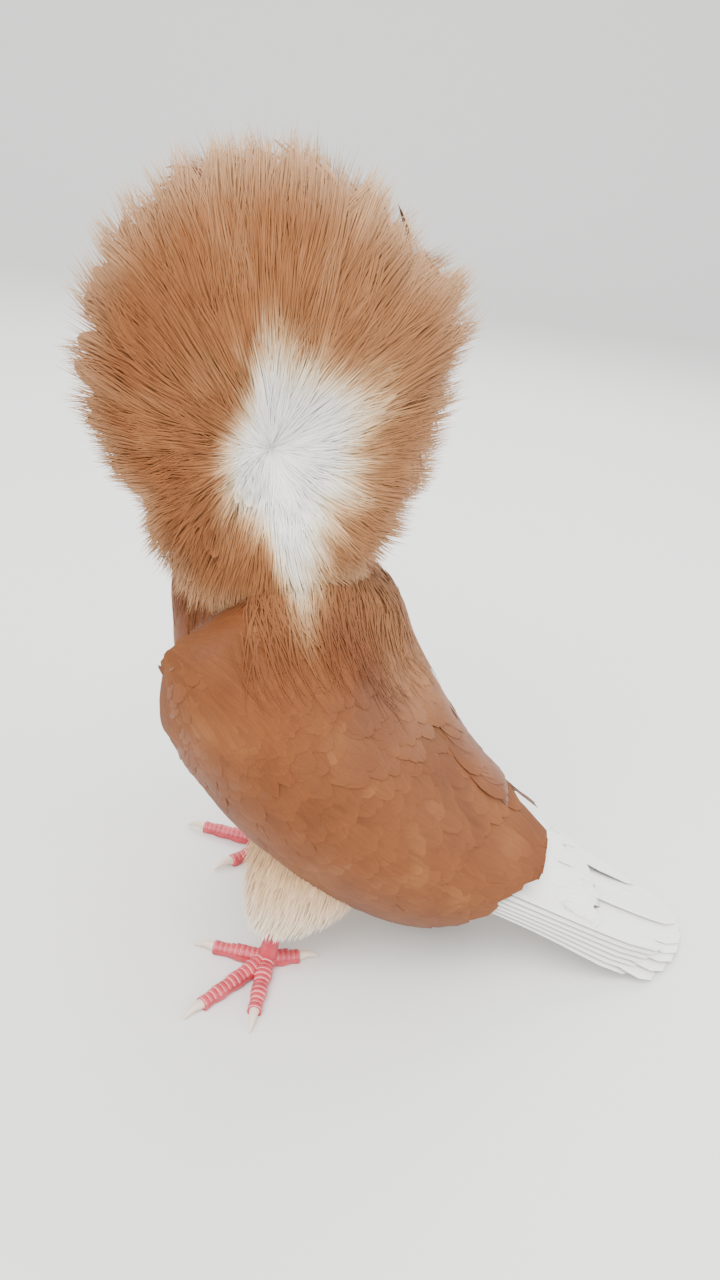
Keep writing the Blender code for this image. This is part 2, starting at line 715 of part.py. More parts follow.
def wing_rails(along):
    """Upper edge, widest line and lower edge of the left wing at along, 0 at the wrist and 1 at the tip."""
    return [Vector(smooth_through([row[i] for row in WING_STATIONS], along)) for i in range(3)]


def wing_point(along, across):
    """A point of the left wing's outer face; across is 0 at the upper edge and 1 at the lower."""
    upper, crest, lower = wing_rails(along)
    control = crest * 2 - (upper + lower) / 2
    return upper * (1 - across) ** 2 + control * 2 * across * (1 - across) + lower * across**2


def wing_inwards(along):
    """The direction from the wing's widest line to the middle of the body."""
    upper, crest, lower = wing_rails(along)
    return ((upper + lower) / 2 - crest).normalized()


def wing_face(along, across):
    """The direction that the wing's outer face looks in."""
    here = wing_point(along, across)
    a = wing_point(min(along + 0.02, 1), across) - wing_point(max(along - 0.02, 0), across)
    b = wing_point(along, min(across + 0.03, 1)) - wing_point(along, max(across - 0.03, 0))
    face = a.cross(b).normalized()
    outwards = here - Vector((0, here.y * 0.75, 85 + (here.z - 85) * 0.5))
    return face if face.dot(outwards) > 0 else -face


def under_wing(along, across, depth):
    return wing_point(along, across) - wing_face(along, across) * depth


def wing_vane(side, start, end, drops, half, steps):
    """A feather on the wing from start to end, both as along and across, drops under the outer face."""
    path, faces = [], []
    for f in vane_shares(steps):
        along = start[0] + (end[0] - start[0]) * f
        across = start[1] + (end[1] - start[1]) * f
        face = wing_face(along, across)
        tangent = wing_point(along, min(across + 0.05, 1)) - wing_point(along, max(across - 0.05, 0))
        tilted = (face + tangent.normalized() * VANE_LEAN).normalized()
        depth = drops[0] + (drops[1] - drops[0]) * f**0.7
        path.append(mirrored(under_wing(along, across, depth), side))
        faces.append(mirrored(tilted, side))
    return vane(path, faces, half, VANE_THICK, WING_VANE_BLUNT, WING_VANE_ROOT)


def wing_core(name, side, material=None, swell=0.0):
    """The dense part of the wing against the body, which reaches further back near the middle of the back."""
    rings = []
    last = len(WING_DEPTHS) - 1
    for k, depth in enumerate(WING_DEPTHS):
        outer, inner = [], []
        for i in range(CORE_POINTS):
            c = WING_CORE_EDGE + (1 - 2 * WING_CORE_EDGE) * i / (CORE_POINTS - 1)
            end = WING_CORE_END + WING_CORE_SWEEP * (1 - c) ** 2 + swell / WING_LENGTH
            along = end * k / last
            reach = wing_inwards(along) * depth * math.sin(math.pi * c) ** 0.7
            outer.append(under_wing(along, c, WING_CORE_TOP - swell))
            inner.append(under_wing(along, c, WING_CORE_FLOOR + swell) + reach)
        rings.append([mirrored(p, side) for p in outer + inner[::-1]])
    return skin(name, rings, material)


def wing(name, side, material):
    """Folded wing: the core, then rows of vanes for middle coverts, great coverts and secondaries."""
    made = wing_core(name, side, material)
    vanes = []
    for start, reach, sweep, shorter, drops, half, count, steps in WING_ROWS:
        for i in range(count):
            c = WING_EDGE + (1 - 2 * WING_EDGE) * i / (count - 1) + CHANCE.uniform(-0.013, 0.013)
            further = sweep * (1 - c) ** 2
            end = reach + further - shorter * c**1.5 + CHANCE.uniform(-0.01, 0.01)
            low = [drop + CHANCE.uniform(-0.2, 0.2) for drop in drops]
            vanes.append(wing_vane(side, (start + further, c), (end, c), low, half, steps))
    fuse(made, vanes)
    thin_out(made)
    cut(made, torso(None, GAP), neck(None, GAP), thigh(side, GAP))
    return made


def primaries(name, side, material):
    """The white flight feathers that come out from under the wing and lie along the tail."""
    rings = []
    for along in PRIMARY_BLOCK_ALONG:
        outer = [under_wing(along, c, PRIMARY_BLOCK_DEPTHS[0]) for c in PRIMARY_BLOCK_ACROSS]
        inner = [under_wing(along, c, PRIMARY_BLOCK_DEPTHS[1]) for c in reversed(PRIMARY_BLOCK_ACROSS)]
        rings.append([mirrored(p, side) for p in outer + inner])
    made = skin(name, rings, material)
    feathers = []
    for i in range(PRIMARY_FEATHERS):
        f = i / (PRIMARY_FEATHERS - 1)
        c = PRIMARY_ACROSS[0] + (PRIMARY_ACROSS[1] - PRIMARY_ACROSS[0]) * f
        root = under_wing(PRIMARY_ROOT[0], c, PRIMARY_ROOT[1])
        middle = under_wing(PRIMARY_MIDDLE[0], c, PRIMARY_MIDDLE[1])
        tip = PRIMARY_TIPS[0].lerp(PRIMARY_TIPS[1], f)
        path, faces = [], []
        for t in vane_shares(5):
            control = middle * 2 - (root + tip) / 2
            bent = root * (1 - t) ** 2 + control * 2 * t * (1 - t) + tip * t * t
            path.append(mirrored(bent, side))
            turned = wing_face(PRIMARY_ROOT[0], c).lerp(PRIMARY_END_FACE, min(1, t * 1.3)).normalized()
            faces.append(mirrored(turned, side))
        feathers.append(vane(path, faces, PRIMARY_HALF, VANE_THICK, WING_VANE_BLUNT))
    fuse(made, feathers)
    cut(made, torso(None, GAP), wing_core("wing_room", side, None, GAP * 2))


def tail(material):
    """Twelve feathers in a narrow fan, the middle pair on top, from the rump to the floor."""
    rings = []
    for share, half, above, below in TAIL_BLOCK:
        centre = TAIL_ROOT.lerp(Vector((0, TAIL_END_Y, TAIL_END_Z)), share)
        rings.append(oval(centre, ACROSS, UP, half, above, below, 10))
    made = skin("tail", rings, material)
    feathers = []
    for i in range(TAIL_FEATHERS):
        f = (i - (TAIL_FEATHERS - 1) / 2) / ((TAIL_FEATHERS - 1) / 2)
        stack = TAIL_STACK * (1 - abs(f)) + TAIL_STEP * (i % 2)
        root = TAIL_ROOT + Vector((TAIL_ROOT_SPREAD * f, 4, stack * 0.6 - 0.5))
        tip = Vector((TAIL_HALF_SPREAD * f, TAIL_END_Y - TAIL_TIP_CURVE * f * f, TAIL_END_Z + stack))
        path = [root.lerp(tip, t) - UP * (TAIL_SAG * math.sin(math.pi * t)) for t in vane_shares(3)]
        lean = Vector((math.copysign(TAIL_LEAN, f), 0.4, 1)).normalized()
        feathers.append(vane(path, [lean] * 4, TAIL_FEATHER_HALF, VANE_THICK, 0.8))
    fuse(made, feathers)
    cut(made, torso(None, GAP), floor_block())


def floor_block():
    """Everything under the floor."""
    corners = [Vector((x, y, 0)) for x, y in ((-150, -150), (250, -150), (250, 250), (-150, 250))]
    return skin("floor_block", [corners, [p - UP * 30 for p in corners]])


def thigh(side, swell=0.0, material=None, name="thigh"):
    rings = []
    for x, y, z, half, depth in THIGH_STATIONS:
        reach = (half + swell, depth + swell, depth + swell)
        rings.append(oval(Vector((x * side, y, z)), ACROSS, BACK, *reach, 12))
    rings[0] = [p - UP * swell for p in rings[0]]
    return skin(name, rings, material)


def tube(name, path, radii, sides, material=None):
    rings = []
    for k, (point, radius) in enumerate(zip(path, radii)):
        along = (path[min(k + 1, len(path) - 1)] - path[max(k - 1, 0)]).normalized()
        across = along.cross(UP)
        if across.length < 0.2:
            across = ACROSS - along * along.dot(ACROSS)
        across.normalize()
        rings.append(oval(point, across, across.cross(along), radius, radius, radius, sides))
    return skin(name, rings, material)


def scute(centre, along, up, length, width, height):
    """A raised plate with its front edge standing highest, sunk in what it lies on."""
    side = along.cross(up).normalized()
    low = centre - up * height * 1.2
    back = [low - along * length * 0.5 + side * width * a for a in (-0.8, 0.8)]
    front = [low + along * length * 0.5 + side * width * a for a in (-1, 1)]
    top_back = [centre - along * length * 0.45 + side * width * a + up * height * 0.1 for a in (-0.5, 0.5)]
    top_front = [centre + along * length * 0.5 + side * width * a + up * height for a in (-0.55, 0.55)]
    ring_a = [back[0], top_back[0], top_back[1], back[1]]
    ring_b = [front[0], top_front[0], top_front[1], front[1]]
    return skin("scute", [ring_a, ring_b])


def foot(name, side, toes, flesh, horn):
    """Tarsus and four toes with their scutes, on small flats, and the four claws."""
    ankle = Vector((LEG_X * side, 0, ANKLE_Z))
    top = Vector((THIGH_STATIONS[0][0] * side, 1.5, THIGH_STATIONS[0][2] - 1.0))
    leg_radii = (TARSUS_RADIUS, TARSUS_RADIUS, ANKLE_RADIUS)
    made = tube("foot_" + name, [top, top.lerp(ankle, 0.5), ankle], leg_radii, 8, flesh)
    pieces = [ball("pad", ankle - UP * PAD_DROP, PAD_RADIUS, None, 6)]
    for i in range(TARSUS_SCUTES):
        centre = top.lerp(ankle, 0.2 + 0.28 * i) - BACK * (TARSUS_RADIUS - 0.2)
        pieces.append(scute(centre, -UP, -BACK, *TARSUS_SCUTE))
    for i, (heading, length, scutes) in enumerate(toes):
        turn = math.radians(heading)
        way = Vector((math.sin(turn) * side, -math.cos(turn), 0))
        path = [ankle + way * (length * k / 3) - UP * (TOE_FALL * k / 3) for k in range(4)]
        thin = [TOE_RADIUS[0] + (TOE_RADIUS[1] - TOE_RADIUS[0]) * k / 3 for k in range(4)]
        pieces.append(tube("toe", path, thin, 6))
        for n in range(scutes):
            f = (n + 0.9) / (scutes + 0.4)
            at = path[0].lerp(path[-1], f)
            radius = TOE_RADIUS[0] + (TOE_RADIUS[1] - TOE_RADIUS[0]) * f
            size = (length / scutes * TOE_SCUTE_LONG, radius * TOE_SCUTE_WIDE, TOE_SCUTE_HIGH)
            pieces.append(scute(at + UP * (radius - 0.1), way, UP, *size))
        ahead = (path[-1] - path[0]).normalized()
        root = path[-1] + ahead * GAP
        tip = root + way * CLAW_LENGTH - UP * CLAW_DROP
        crown, bend = root + way * 3.8 + UP * 0.8, root + way * 6.4 + UP * 0.1
        claw_path = [root, root + ahead * 1.5, crown, bend, tip]
        claw = tube(f"claw_{name}_{i + 1}", claw_path, CLAW_RADII, 6, horn)
        cut(claw, floor_block())
    fuse(made, pieces)
    cut(made, floor_block())


def stand_on_floor():
    """Centres the box of all pieces on the origin, with its lowest point at z 0."""
    bpy.context.view_layer.update()
    points = [obj.matrix_world @ v.co for obj in bpy.data.objects for v in obj.data.vertices]
    low = [min(p[i] for p in points) for i in range(3)]
    high = [max(p[i] for p in points) for i in range(3)]
    shift = Vector((-(low[0] + high[0]) / 2, -(low[1] + high[1]) / 2, -low[2]))
    for obj in bpy.data.objects:
        obj.location = obj.location + shift
        obj.data.shade_smooth()
        obj.data.set_sharp_from_angle(angle=math.radians(40))


clear_scene()
RUST = finish("rust_feather", "b47a50", 0.75)
WHITE = finish("white_feather", "f2efe9", 0.7)
DOWN = finish("cream_down", "e6cfae", 0.9)
FLESH = finish("scaled_skin", "cf5a62", 0.5)
HORN = finish("pale_horn", "d9c8b4", 0.35)
CHALK = finish("chalky_cere", "e6dcd4", 0.8)
EYE = finish("pearl_eye", "d8cfc4", 0.1)

torso(RUST)
neck_piece = neck(RUST)
fuse(neck_piece, throat_feathers())
cut(neck_piece, torso(None, GAP), head(None, GAP))
head_piece(WHITE)
bill(HORN, CHALK)
eyes(EYE)
coats(RUST)
for side_name, side_sign in SIDES:
    wing("wing_" + side_name, side_sign, RUST)
    primaries("primaries_" + side_name, side_sign, WHITE)
    cut(thigh(side_sign, 0, DOWN, "thigh_" + side_name), torso(None, GAP))
    foot(side_name, side_sign, TOES[side_name], FLESH, HORN)
tail(WHITE)
stand_on_floor()
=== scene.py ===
import math

import bmesh
import bpy
import numpy as np
from mathutils import Matrix, Vector
from mathutils.bvhtree import BVHTree


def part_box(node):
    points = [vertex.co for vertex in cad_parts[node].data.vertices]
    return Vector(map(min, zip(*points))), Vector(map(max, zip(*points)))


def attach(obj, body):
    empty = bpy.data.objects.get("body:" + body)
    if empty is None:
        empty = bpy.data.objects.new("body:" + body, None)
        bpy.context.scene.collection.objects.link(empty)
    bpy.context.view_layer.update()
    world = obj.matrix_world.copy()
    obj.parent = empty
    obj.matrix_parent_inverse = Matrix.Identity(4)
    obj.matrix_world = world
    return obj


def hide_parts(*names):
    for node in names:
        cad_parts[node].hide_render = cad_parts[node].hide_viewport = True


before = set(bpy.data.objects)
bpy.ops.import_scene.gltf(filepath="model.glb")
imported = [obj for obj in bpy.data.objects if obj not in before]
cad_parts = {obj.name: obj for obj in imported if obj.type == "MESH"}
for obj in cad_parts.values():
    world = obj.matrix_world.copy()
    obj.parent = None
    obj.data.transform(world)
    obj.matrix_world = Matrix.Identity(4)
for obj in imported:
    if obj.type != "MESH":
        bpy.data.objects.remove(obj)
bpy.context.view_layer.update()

# Place of the bird
# Its sizes are in millimetres from a point on the floor between its feet: +X is its left, it looks along
# -Y. The frame is centred on its own box, so the left eye says how far the bird's own numbers are moved.
MM = 0.001
EYE_CENTRE = np.array((9.0, -35.0, 257.5))
EYE_RADIUS = 5.6
eye_low, eye_high = (np.array(corner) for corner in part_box("eye_left"))
PLACE = (eye_low + eye_high) / 2 - EYE_CENTRE * MM


def metres(points):
    """Bird's millimetres to metres in the frame."""
    return np.asarray(points, float) * MM + PLACE


# Camera
# It stands to the bird's left, a little above its back, and looks down at it. It is rolled slightly, as the
# hand held it.
CAMERA_PLACE = (343, -11.5, 290)
CAMERA_AHEAD = Vector((-0.901, 0.095, -0.423)).normalized()
CAMERA_LEVEL = Vector((0.1045, 0.9945, 0))
CAMERA_ROLL = math.radians(7.3)

camera_data = bpy.data.cameras.new("photo_camera")
camera_data.lens = 28.125
camera_data.sensor_width = 36
camera = bpy.data.objects.new("photo_camera", camera_data)
bpy.context.scene.collection.objects.link(camera)
level_up = CAMERA_LEVEL.cross(CAMERA_AHEAD)
camera_right = CAMERA_LEVEL * math.cos(CAMERA_ROLL) + level_up * math.sin(CAMERA_ROLL)
camera_up = camera_right.cross(CAMERA_AHEAD)
turned = Matrix((camera_right, camera_up, -CAMERA_AHEAD)).transposed().to_4x4()
turned.translation = Vector(metres(CAMERA_PLACE))
camera.matrix_world = turned
bpy.context.scene.camera = camera

# Body under the feathers
# One skin covers breast, back, neck, skull, thighs and the flesh of the wings. It is never seen bare: it is
# the ground that the feathers stand on and the colour between them. Its parts are closed forms over oval
# sections, merged into a single surface.

# Stations of trunk, neck and head: y and z of the axis, half width, and height above and below the axis.
BODY_STATIONS = np.array(
    (
        (-9, 157, 27, 25, 30),
        (-7, 145, 37, 28, 39),
        (1, 123, 46, 29, 39),
        (13, 101, 49, 31, 38),
        (32, 79, 46, 29, 36),
        (57, 60, 39, 23, 28),
        (82, 46, 28, 14, 19),
        (99, 38, 18, 7, 11),
    ),
    float,
)
NECK_STATIONS = np.array(
    (
        (-11, 140, 33, 34, 34),
        (-12, 160, 32, 33, 33),
        (-14, 178, 27, 28, 28),
        (-17, 200, 21, 22, 22),
        (-19, 220, 18, 19, 19),
        (-22, 236, 15, 16, 16),
        (-25, 248, 12, 13, 13),
    ),
    float,
)
HEAD_STATIONS = np.array(
    (
        (-52, 250, 4.6, 5.2, 4.4),
        (-49, 251.5, 7.4, 7.6, 6.9),
        (-46, 253, 9.0, 9.6, 8.6),
        (-39, 255, 12.0, 13.4, 12.0),
        (-30, 256, 14.5, 15.5, 15.0),
        (-20, 255, 14.5, 15.5, 16.0),
        (-12, 252, 12.0, 12.5, 13.5),
        (-6, 249, 6.5, 7.0, 7.5),
        (-3.5, 248, 2.0, 2.2, 2.4),
    ),
    float,
)
# Stations of a thigh from the leg up: x, y and z of its axis, half width and half depth.
THIGH_STATIONS = np.array(
    (
        (36.5, 2, 17, 4.2, 4.2),
        (36.3, 3, 21, 7.0, 7.5),
        (36, 5, 26, 10, 12),
        (35, 10, 35, 13, 19),
        (31, 14, 50, 14, 23),
        (26, 16, 68, 13, 21),
    ),
    float,
)
# Stations of the folded wing from wrist to tip: its upper edge, its crest and its lower edge.
WING_STATIONS = np.array(
    (
        ((43, -33, 151), (52, -41, 147), (54, -44, 141)),
        ((31, -9, 160), (60, -27, 145), (55, -42, 121)),
        ((13, 30, 152), (64, -2, 125), (53, -33, 102)),
        ((5, 46, 127), (64, 16, 101), (51, -14, 75)),
        ((4, 62, 103), (59, 39, 79), (49, 16, 49)),
        ((5, 78, 82), (52, 62, 61), (45, 46, 32)),
        ((7, 94, 67), (44, 84, 49), (39, 74, 25)),
        ((15, 110, 52), (33, 104, 44), (34, 99, 31)),
    ),
    float,
)
# How far the flesh lies under the outer form of the plumage on the trunk, the skull and the thighs.
FLESH_SINK, SKULL_SINK, THIGH_SINK = 2.2, 0.9, 1.5
# Depth of the wing's flesh under the wing's outer face, and its thickness.
WING_FLESH = (3.6, 3.5)
FLESH_VOXEL = 1.5


def unit(v):
    return v / np.maximum(np.linalg.norm(v, axis=-1, keepdims=True), 1e-9)


def through(stations, share):
    """Points of a Catmull-Rom curve through the stations, at shares from 0 to 1."""
    last = len(stations) - 1
    place = np.clip(np.asarray(share, float), 0, 1) * last
    i = np.minimum(place.astype(int), last - 1)
    f = (place - i).reshape(place.shape + (1,) * (stations.ndim - 1))
    a, b, c, d = (stations[np.clip(i + k, 0, last)] for k in (-1, 0, 1, 2))
    return 0.5 * (2 * b + (c - a) * f + (2 * a - 5 * b + 4 * c - d) * f**2 + (3 * b - a - 3 * c + d) * f**3)


def column(stations, swell=0.0, square=1.0):
    """The surface over oval sections in the middle plane, by the share along it and the turn round it.

    square under 1 makes the lower half of the sections fuller towards its corners.
    """

    def place(share, turn):
        y, z, half, above, below = np.moveaxis(through(stations, share), -1, 0)
        ahead = unit(through(stations, share + 0.01)[..., :2] - through(stations, share - 0.01)[..., :2])
        power = np.where(np.sin(turn) < 0, square, 1.0)
        wide, rise = (np.sign(part) * np.abs(part) ** power for part in (np.cos(turn), np.sin(turn)))
        off = rise * (np.where(rise > 0, above, below) + swell)
        return np.stack(((half + swell) * wide, y - ahead[..., 1] * off, z + ahead[..., 0] * off), -1)

    def middle(share, turn):
        y, z = np.moveaxis(through(stations, share)[..., :2], -1, 0)
        return np.stack((np.zeros_like(y), y, z), -1)

    return place, middle


def thigh_column(side, swell=0.0):
    """The same for a thigh, whose sections lie level."""

    def place(share, turn):
        x, y, z, half, depth = np.moveaxis(through(THIGH_STATIONS, share), -1, 0)
        wide, deep = (half + swell) * np.cos(turn), (depth + swell) * np.sin(turn)
        return np.stack(((x + wide) * side, y + deep, z), -1)

    def middle(share, turn):
        x, y, z = np.moveaxis(through(THIGH_STATIONS, share)[..., :3], -1, 0)
        return np.stack((x * side, y, z), -1)

    return place, middle


def wing_sheet(side):
    """The folded wing's outer face: along from wrist to tip, across from the upper edge to the lower."""

    def place(along, across):
        upper, crest, lower = np.moveaxis(through(WING_STATIONS, along), -2, 0)
        c = np.asarray(across, float)[..., None]
        control = crest * 2 - (upper + lower) / 2
        return (upper * (1 - c) ** 2 + control * 2 * c * (1 - c) + lower * c**2) * (side, 1, 1)

    def middle(along, across):
        out = place(along, across)
        return np.stack((np.zeros_like(out[..., 0]), out[..., 1] * 0.75, 85 + (out[..., 2] - 85) * 0.5), -1)

    return place, middle


def facing(surface, u, v, step=0.012):
    """The outward direction of a surface."""
    place, middle = surface
    across = np.cross(place(u + step, v) - place(u - step, v), place(u, v + step) - place(u, v - step))
    out = place(u, v) - middle(u, v)
    return unit(across) * np.sign((across * out).sum(-1, keepdims=True))


def closed_form(rows):
    """Vertices and faces of a closed solid over rings of points; a point in the middle closes each end."""
    rows = np.asarray(rows)
    count, around = rows.shape[:2]
    last = (count - 1) * around
    points = list(rows.reshape(-1, 3)) + [rows[0].mean(0), rows[-1].mean(0)]
    faces = []
    for i in range(around):
        j = (i + 1) % around
        faces += [(k + i, k + j, k + around + j, k + around + i) for k in range(0, last, around)]
        faces.append((j, i, last + around))
        faces.append((last + i, last + j, last + around + 1))
    return points, faces


def joined(forms):
    """Vertices and faces of several closed solids together."""
    points, faces = [], []
    for rows in forms:
        form_points, form_faces = closed_form(rows)
        faces += [tuple(i + len(points) for i in face) for face in form_faces]
        points += form_points
    return points, faces


def around_turns(count):
    return np.linspace(0, 2 * math.pi, count, endpoint=False)


def ring_rows(surface, shares, around=48):
    return [surface[0](np.full(around, share), around_turns(around)) for share in shares]


def wing_rows(side, shares, across, depth, thick):
    """Rings of a closed slab under the wing's outer face, for these shares along and across it."""
    surface = wing_sheet(side)
    rows = []
    for share in shares:
        along = np.full(len(across), share)
        face = facing(surface, along, across)
        top = surface[0](along, across) - face * depth
        rows.append(np.concatenate((top, (top - face * thick)[::-1])))
    return rows


def as_object(name, points, faces):
    mesh = bpy.data.meshes.new(name)
    mesh.from_pydata([tuple(p) for p in metres(points)], [], faces)
    mesh.update()
    made = bpy.data.objects.new(name, mesh)
    bpy.context.scene.collection.objects.link(made)
    return made


def melted(name, forms, voxel, smoother, settings):
    """One surface over all the forms, remeshed in voxels of that many millimetres and smoothed."""
    blank = as_object(name, *joined(forms))
    merge = blank.modifiers.new("merge", "REMESH")
    merge.mode = "VOXEL"
    merge.voxel_size = voxel * MM
    soften = blank.modifiers.new("soften", smoother)
    for key, value in settings.items():
        setattr(soften, key, value)
    mesh = bpy.data.meshes.new_from_object(blank.evaluated_get(bpy.context.evaluated_depsgraph_get()))
    bpy.data.objects.remove(blank)
    return mesh


flesh_forms = [
    ring_rows(column(BODY_STATIONS, -FLESH_SINK, 0.85), np.linspace(0, 1, 30)),
    ring_rows(column(NECK_STATIONS, -FLESH_SINK - 1.5), np.linspace(0, 1, 20)),
    ring_rows(column(HEAD_STATIONS, -SKULL_SINK), np.linspace(0, 1, 30)),
]
along, across = np.linspace(0.02, 0.86, 22), np.linspace(0.08, 0.92, 16)
flesh_forms += [wing_rows(side, along, across, *WING_FLESH) for side in (1, -1)]
flesh_forms += [ring_rows(thigh_column(side, -THIGH_SINK), np.linspace(0.25, 1, 20)) for side in (1, -1)]
flesh_smoothing = {"use_only_smooth": True, "iterations": 6}
skin_mesh = melted("flesh", flesh_forms, FLESH_VOXEL, "CORRECTIVE_SMOOTH", flesh_smoothing)
skin = bpy.data.objects.new("skin", skin_mesh)
bpy.context.scene.collection.objects.link(skin)
skin_mesh.shade_smooth()

# Colours of the plumage
# A tan jacobin with a white head, a white star round the rose on each side of the neck, a white streak down
# to the shoulder, white flights and tail, and peach fluff on the thighs. Skin and feathers both take their
# colour from one function of place, and feathers are keratin with a soft grain along their barbs.
TAN = "965E35"
TAN_DEEP = "784520"
TAN_LIGHT = "B38258"
GOLD = "DDB07C"
CREAM = "F0DDBC"
WHITE = "F6F3EE"
# Painted light and shade of the hood: the colour of its lit back and of its shaded front.
HOOD_LIT_BACK, HOOD_SHADED_FRONT = "AC7C54", "763C17"
# Painted shade in the pit at the rose's middle.
ROSE_PIT_SHADE = "A59A92"
PEACH_BY_HEIGHT = ((16, WHITE), (24, "F0DEC4"), (44, "DFBB90"), (64, "CFA272"), (84, "B07C4E"))
ROSE = np.array((26, -14.5, 206.0))
# Radius of the white star: angle in degrees (0 back, 90 up, 180 front) and millimetres.
STAR = (
    (-100, 19), (-87, 21), (-81, 30), (-77, 40), (-73, 46), (-67, 40), (-60, 33), (-49, 27), (-32, 24),
    (-17, 26), (-6, 24), (12, 25), (26, 29), (37, 33), (48, 31), (61, 27), (77, 26), (90, 29), (98, 28),
    (104, 22), (111, 16), (131, 12), (159, 11), (202, 12), (234, 16), (258, 18), (270, 19),
)


def linear(colour):
    """An sRGB hex colour as linear light."""
    parts = np.array([int(colour[i : i + 2], 16) / 255 for i in (0, 2, 4)])
    return np.where(parts > 0.04045, ((parts + 0.055) / 1.055) ** 2.4, parts / 12.92)


def eased(marks, at):
    """Values between marks of place and value, eased from one to the next."""
    places, values = np.array(marks, float).T
    at = np.asarray(at, float)
    i = np.clip(np.searchsorted(places, at) - 1, 0, len(places) - 2)
    f = np.clip((at - places[i]) / (places[i + 1] - places[i]), 0, 1)
    return values[i] + (values[i + 1] - values[i]) * (1 - np.cos(math.pi * f)) / 2


def ramp(value, stops):
    """Linear colours between stops of value and hex colour."""
    places = [stop for stop, colour in stops]
    shades = np.array([linear(colour) for stop, colour in stops])
    return np.stack([np.interp(value, places, shades[:, i]) for i in range(3)], -1)


def rose_angle(points):
    """Degrees round the rose, from -100 to 260: 0 back, 90 up."""
    turn = np.degrees(np.arctan2(points[..., 2] - ROSE[2], points[..., 1] - ROSE[1]))
    return np.where(turn < -100, turn + 360, turn)


def wave(points, size, phase):
    """Soft patches from -1 to 1, about size millimetres across."""
    q = points * (2 * math.pi / size)
    return (
        np.sin(q[..., 0] + 1.7 * np.sin(q[..., 1] * 0.8 + phase))
        + np.sin(q[..., 1] * 1.1 + 1.3 * np.sin(q[..., 2] * 0.9 + phase * 2) + phase)
        + np.sin(q[..., 2] * 0.9 + 1.9 * np.sin(q[..., 0] * 0.7 + phase * 3))
    ) / 3


def plumage(points, vary=0.0, head=False):
    """Colour of the feathers at points, in the bird's millimetres; vary is each feather's own chance."""
    points = np.asarray(points, float)
    x, y, z = np.moveaxis(points, -1, 0)
    mottle = wave(points, 34, 0.6) * 0.5 + wave(points, 13, 2.1) * 0.25 + vary * 0.5
    shade = ramp(mottle, ((-1, TAN_DEEP), (-0.15, TAN), (0.25, TAN), (1, TAN_LIGHT)))

    def lay_over(base, colour, amount):
        return base + (colour - base) * np.clip(amount, 0, 1)[..., None]

    # Painted light and shade: the hood is painted lighter behind, where the light falls, and deeper and more
    # orange in front, where it lies in shade.
    high = np.clip((z - 150) / 20, 0, 1)
    shade = lay_over(shade, linear(HOOD_LIT_BACK), 0.45 * np.clip((y + 25) / 60, 0, 1) * high)
    shade = lay_over(shade, linear(HOOD_SHADED_FRONT), 0.6 * np.clip((-30 - y) / 45, 0, 1) * high)
    # Peach on belly and thighs, white down at the feet and under the tail.
    low = np.clip((88 + vary * 10 - z) / 26, 0, 1) * np.clip((62 - y) / 16, 0, 1)
    shade = lay_over(shade, ramp(z + vary * 9, PEACH_BY_HEIGHT), low)
    rear = np.clip((y + vary * 4 - 84) / 8, 0, 1) * (z < 70)
    shade = lay_over(shade, linear(WHITE), rear)
    if head:
        # White down to the throat's first feathers.
        face = np.sqrt((x / 17) ** 2 + ((y + 30) / 26) ** 2 + ((z - 255) / 19) ** 2)
        shade = lay_over(shade, linear(WHITE), (1.3 - face + vary * 0.1) / 0.16)
    # Star round the rose, on the outer faces of the neck only.
    distance = np.hypot(y - ROSE[1], z - ROSE[2])
    q = distance / (eased(STAR, rose_angle(points)) * (1 + vary * 0.22))
    star = ramp(q, ((0.0, WHITE), (0.78, WHITE), (1.0, CREAM), (1.22, GOLD), (1.6, TAN)))
    outer = np.clip((np.abs(x) - 13) / 7, 0, 1) * np.clip((1.62 - q) / 0.5, 0, 1) * (z > 140)
    shade = lay_over(shade, star, outer)
    # Painted shade: the pit at the rose, where the feathers part, is painted greyer.
    crease = np.exp(-((distance / 1.8) ** 2)) * outer
    return lay_over(shade, linear(ROSE_PIT_SHADE), crease * 0.5)


def node(tree, kind, settings=None, links=None):
    """One shader or geometry node, with its settings and its inputs' links or values."""
    made = tree.nodes.new(kind)
    for key, value in (settings or {}).items():
        setattr(made, key, value)
    for key, value in (links or {}).items():
        socket = made.inputs[key]
        if isinstance(value, bpy.types.NodeSocket):
            tree.links.new(value, socket)
        else:
            socket.default_value = value
    return made


def paint(mesh, colours, name="tint"):
    """Keeps a colour for each vertex."""
    layer = mesh.attributes.new(name, "FLOAT_COLOR", "POINT")
    rgba = np.ones((len(mesh.vertices), 4), np.float32)
    rgba[:, :3] = colours
    layer.data.foreach_set("color", rgba.ravel())


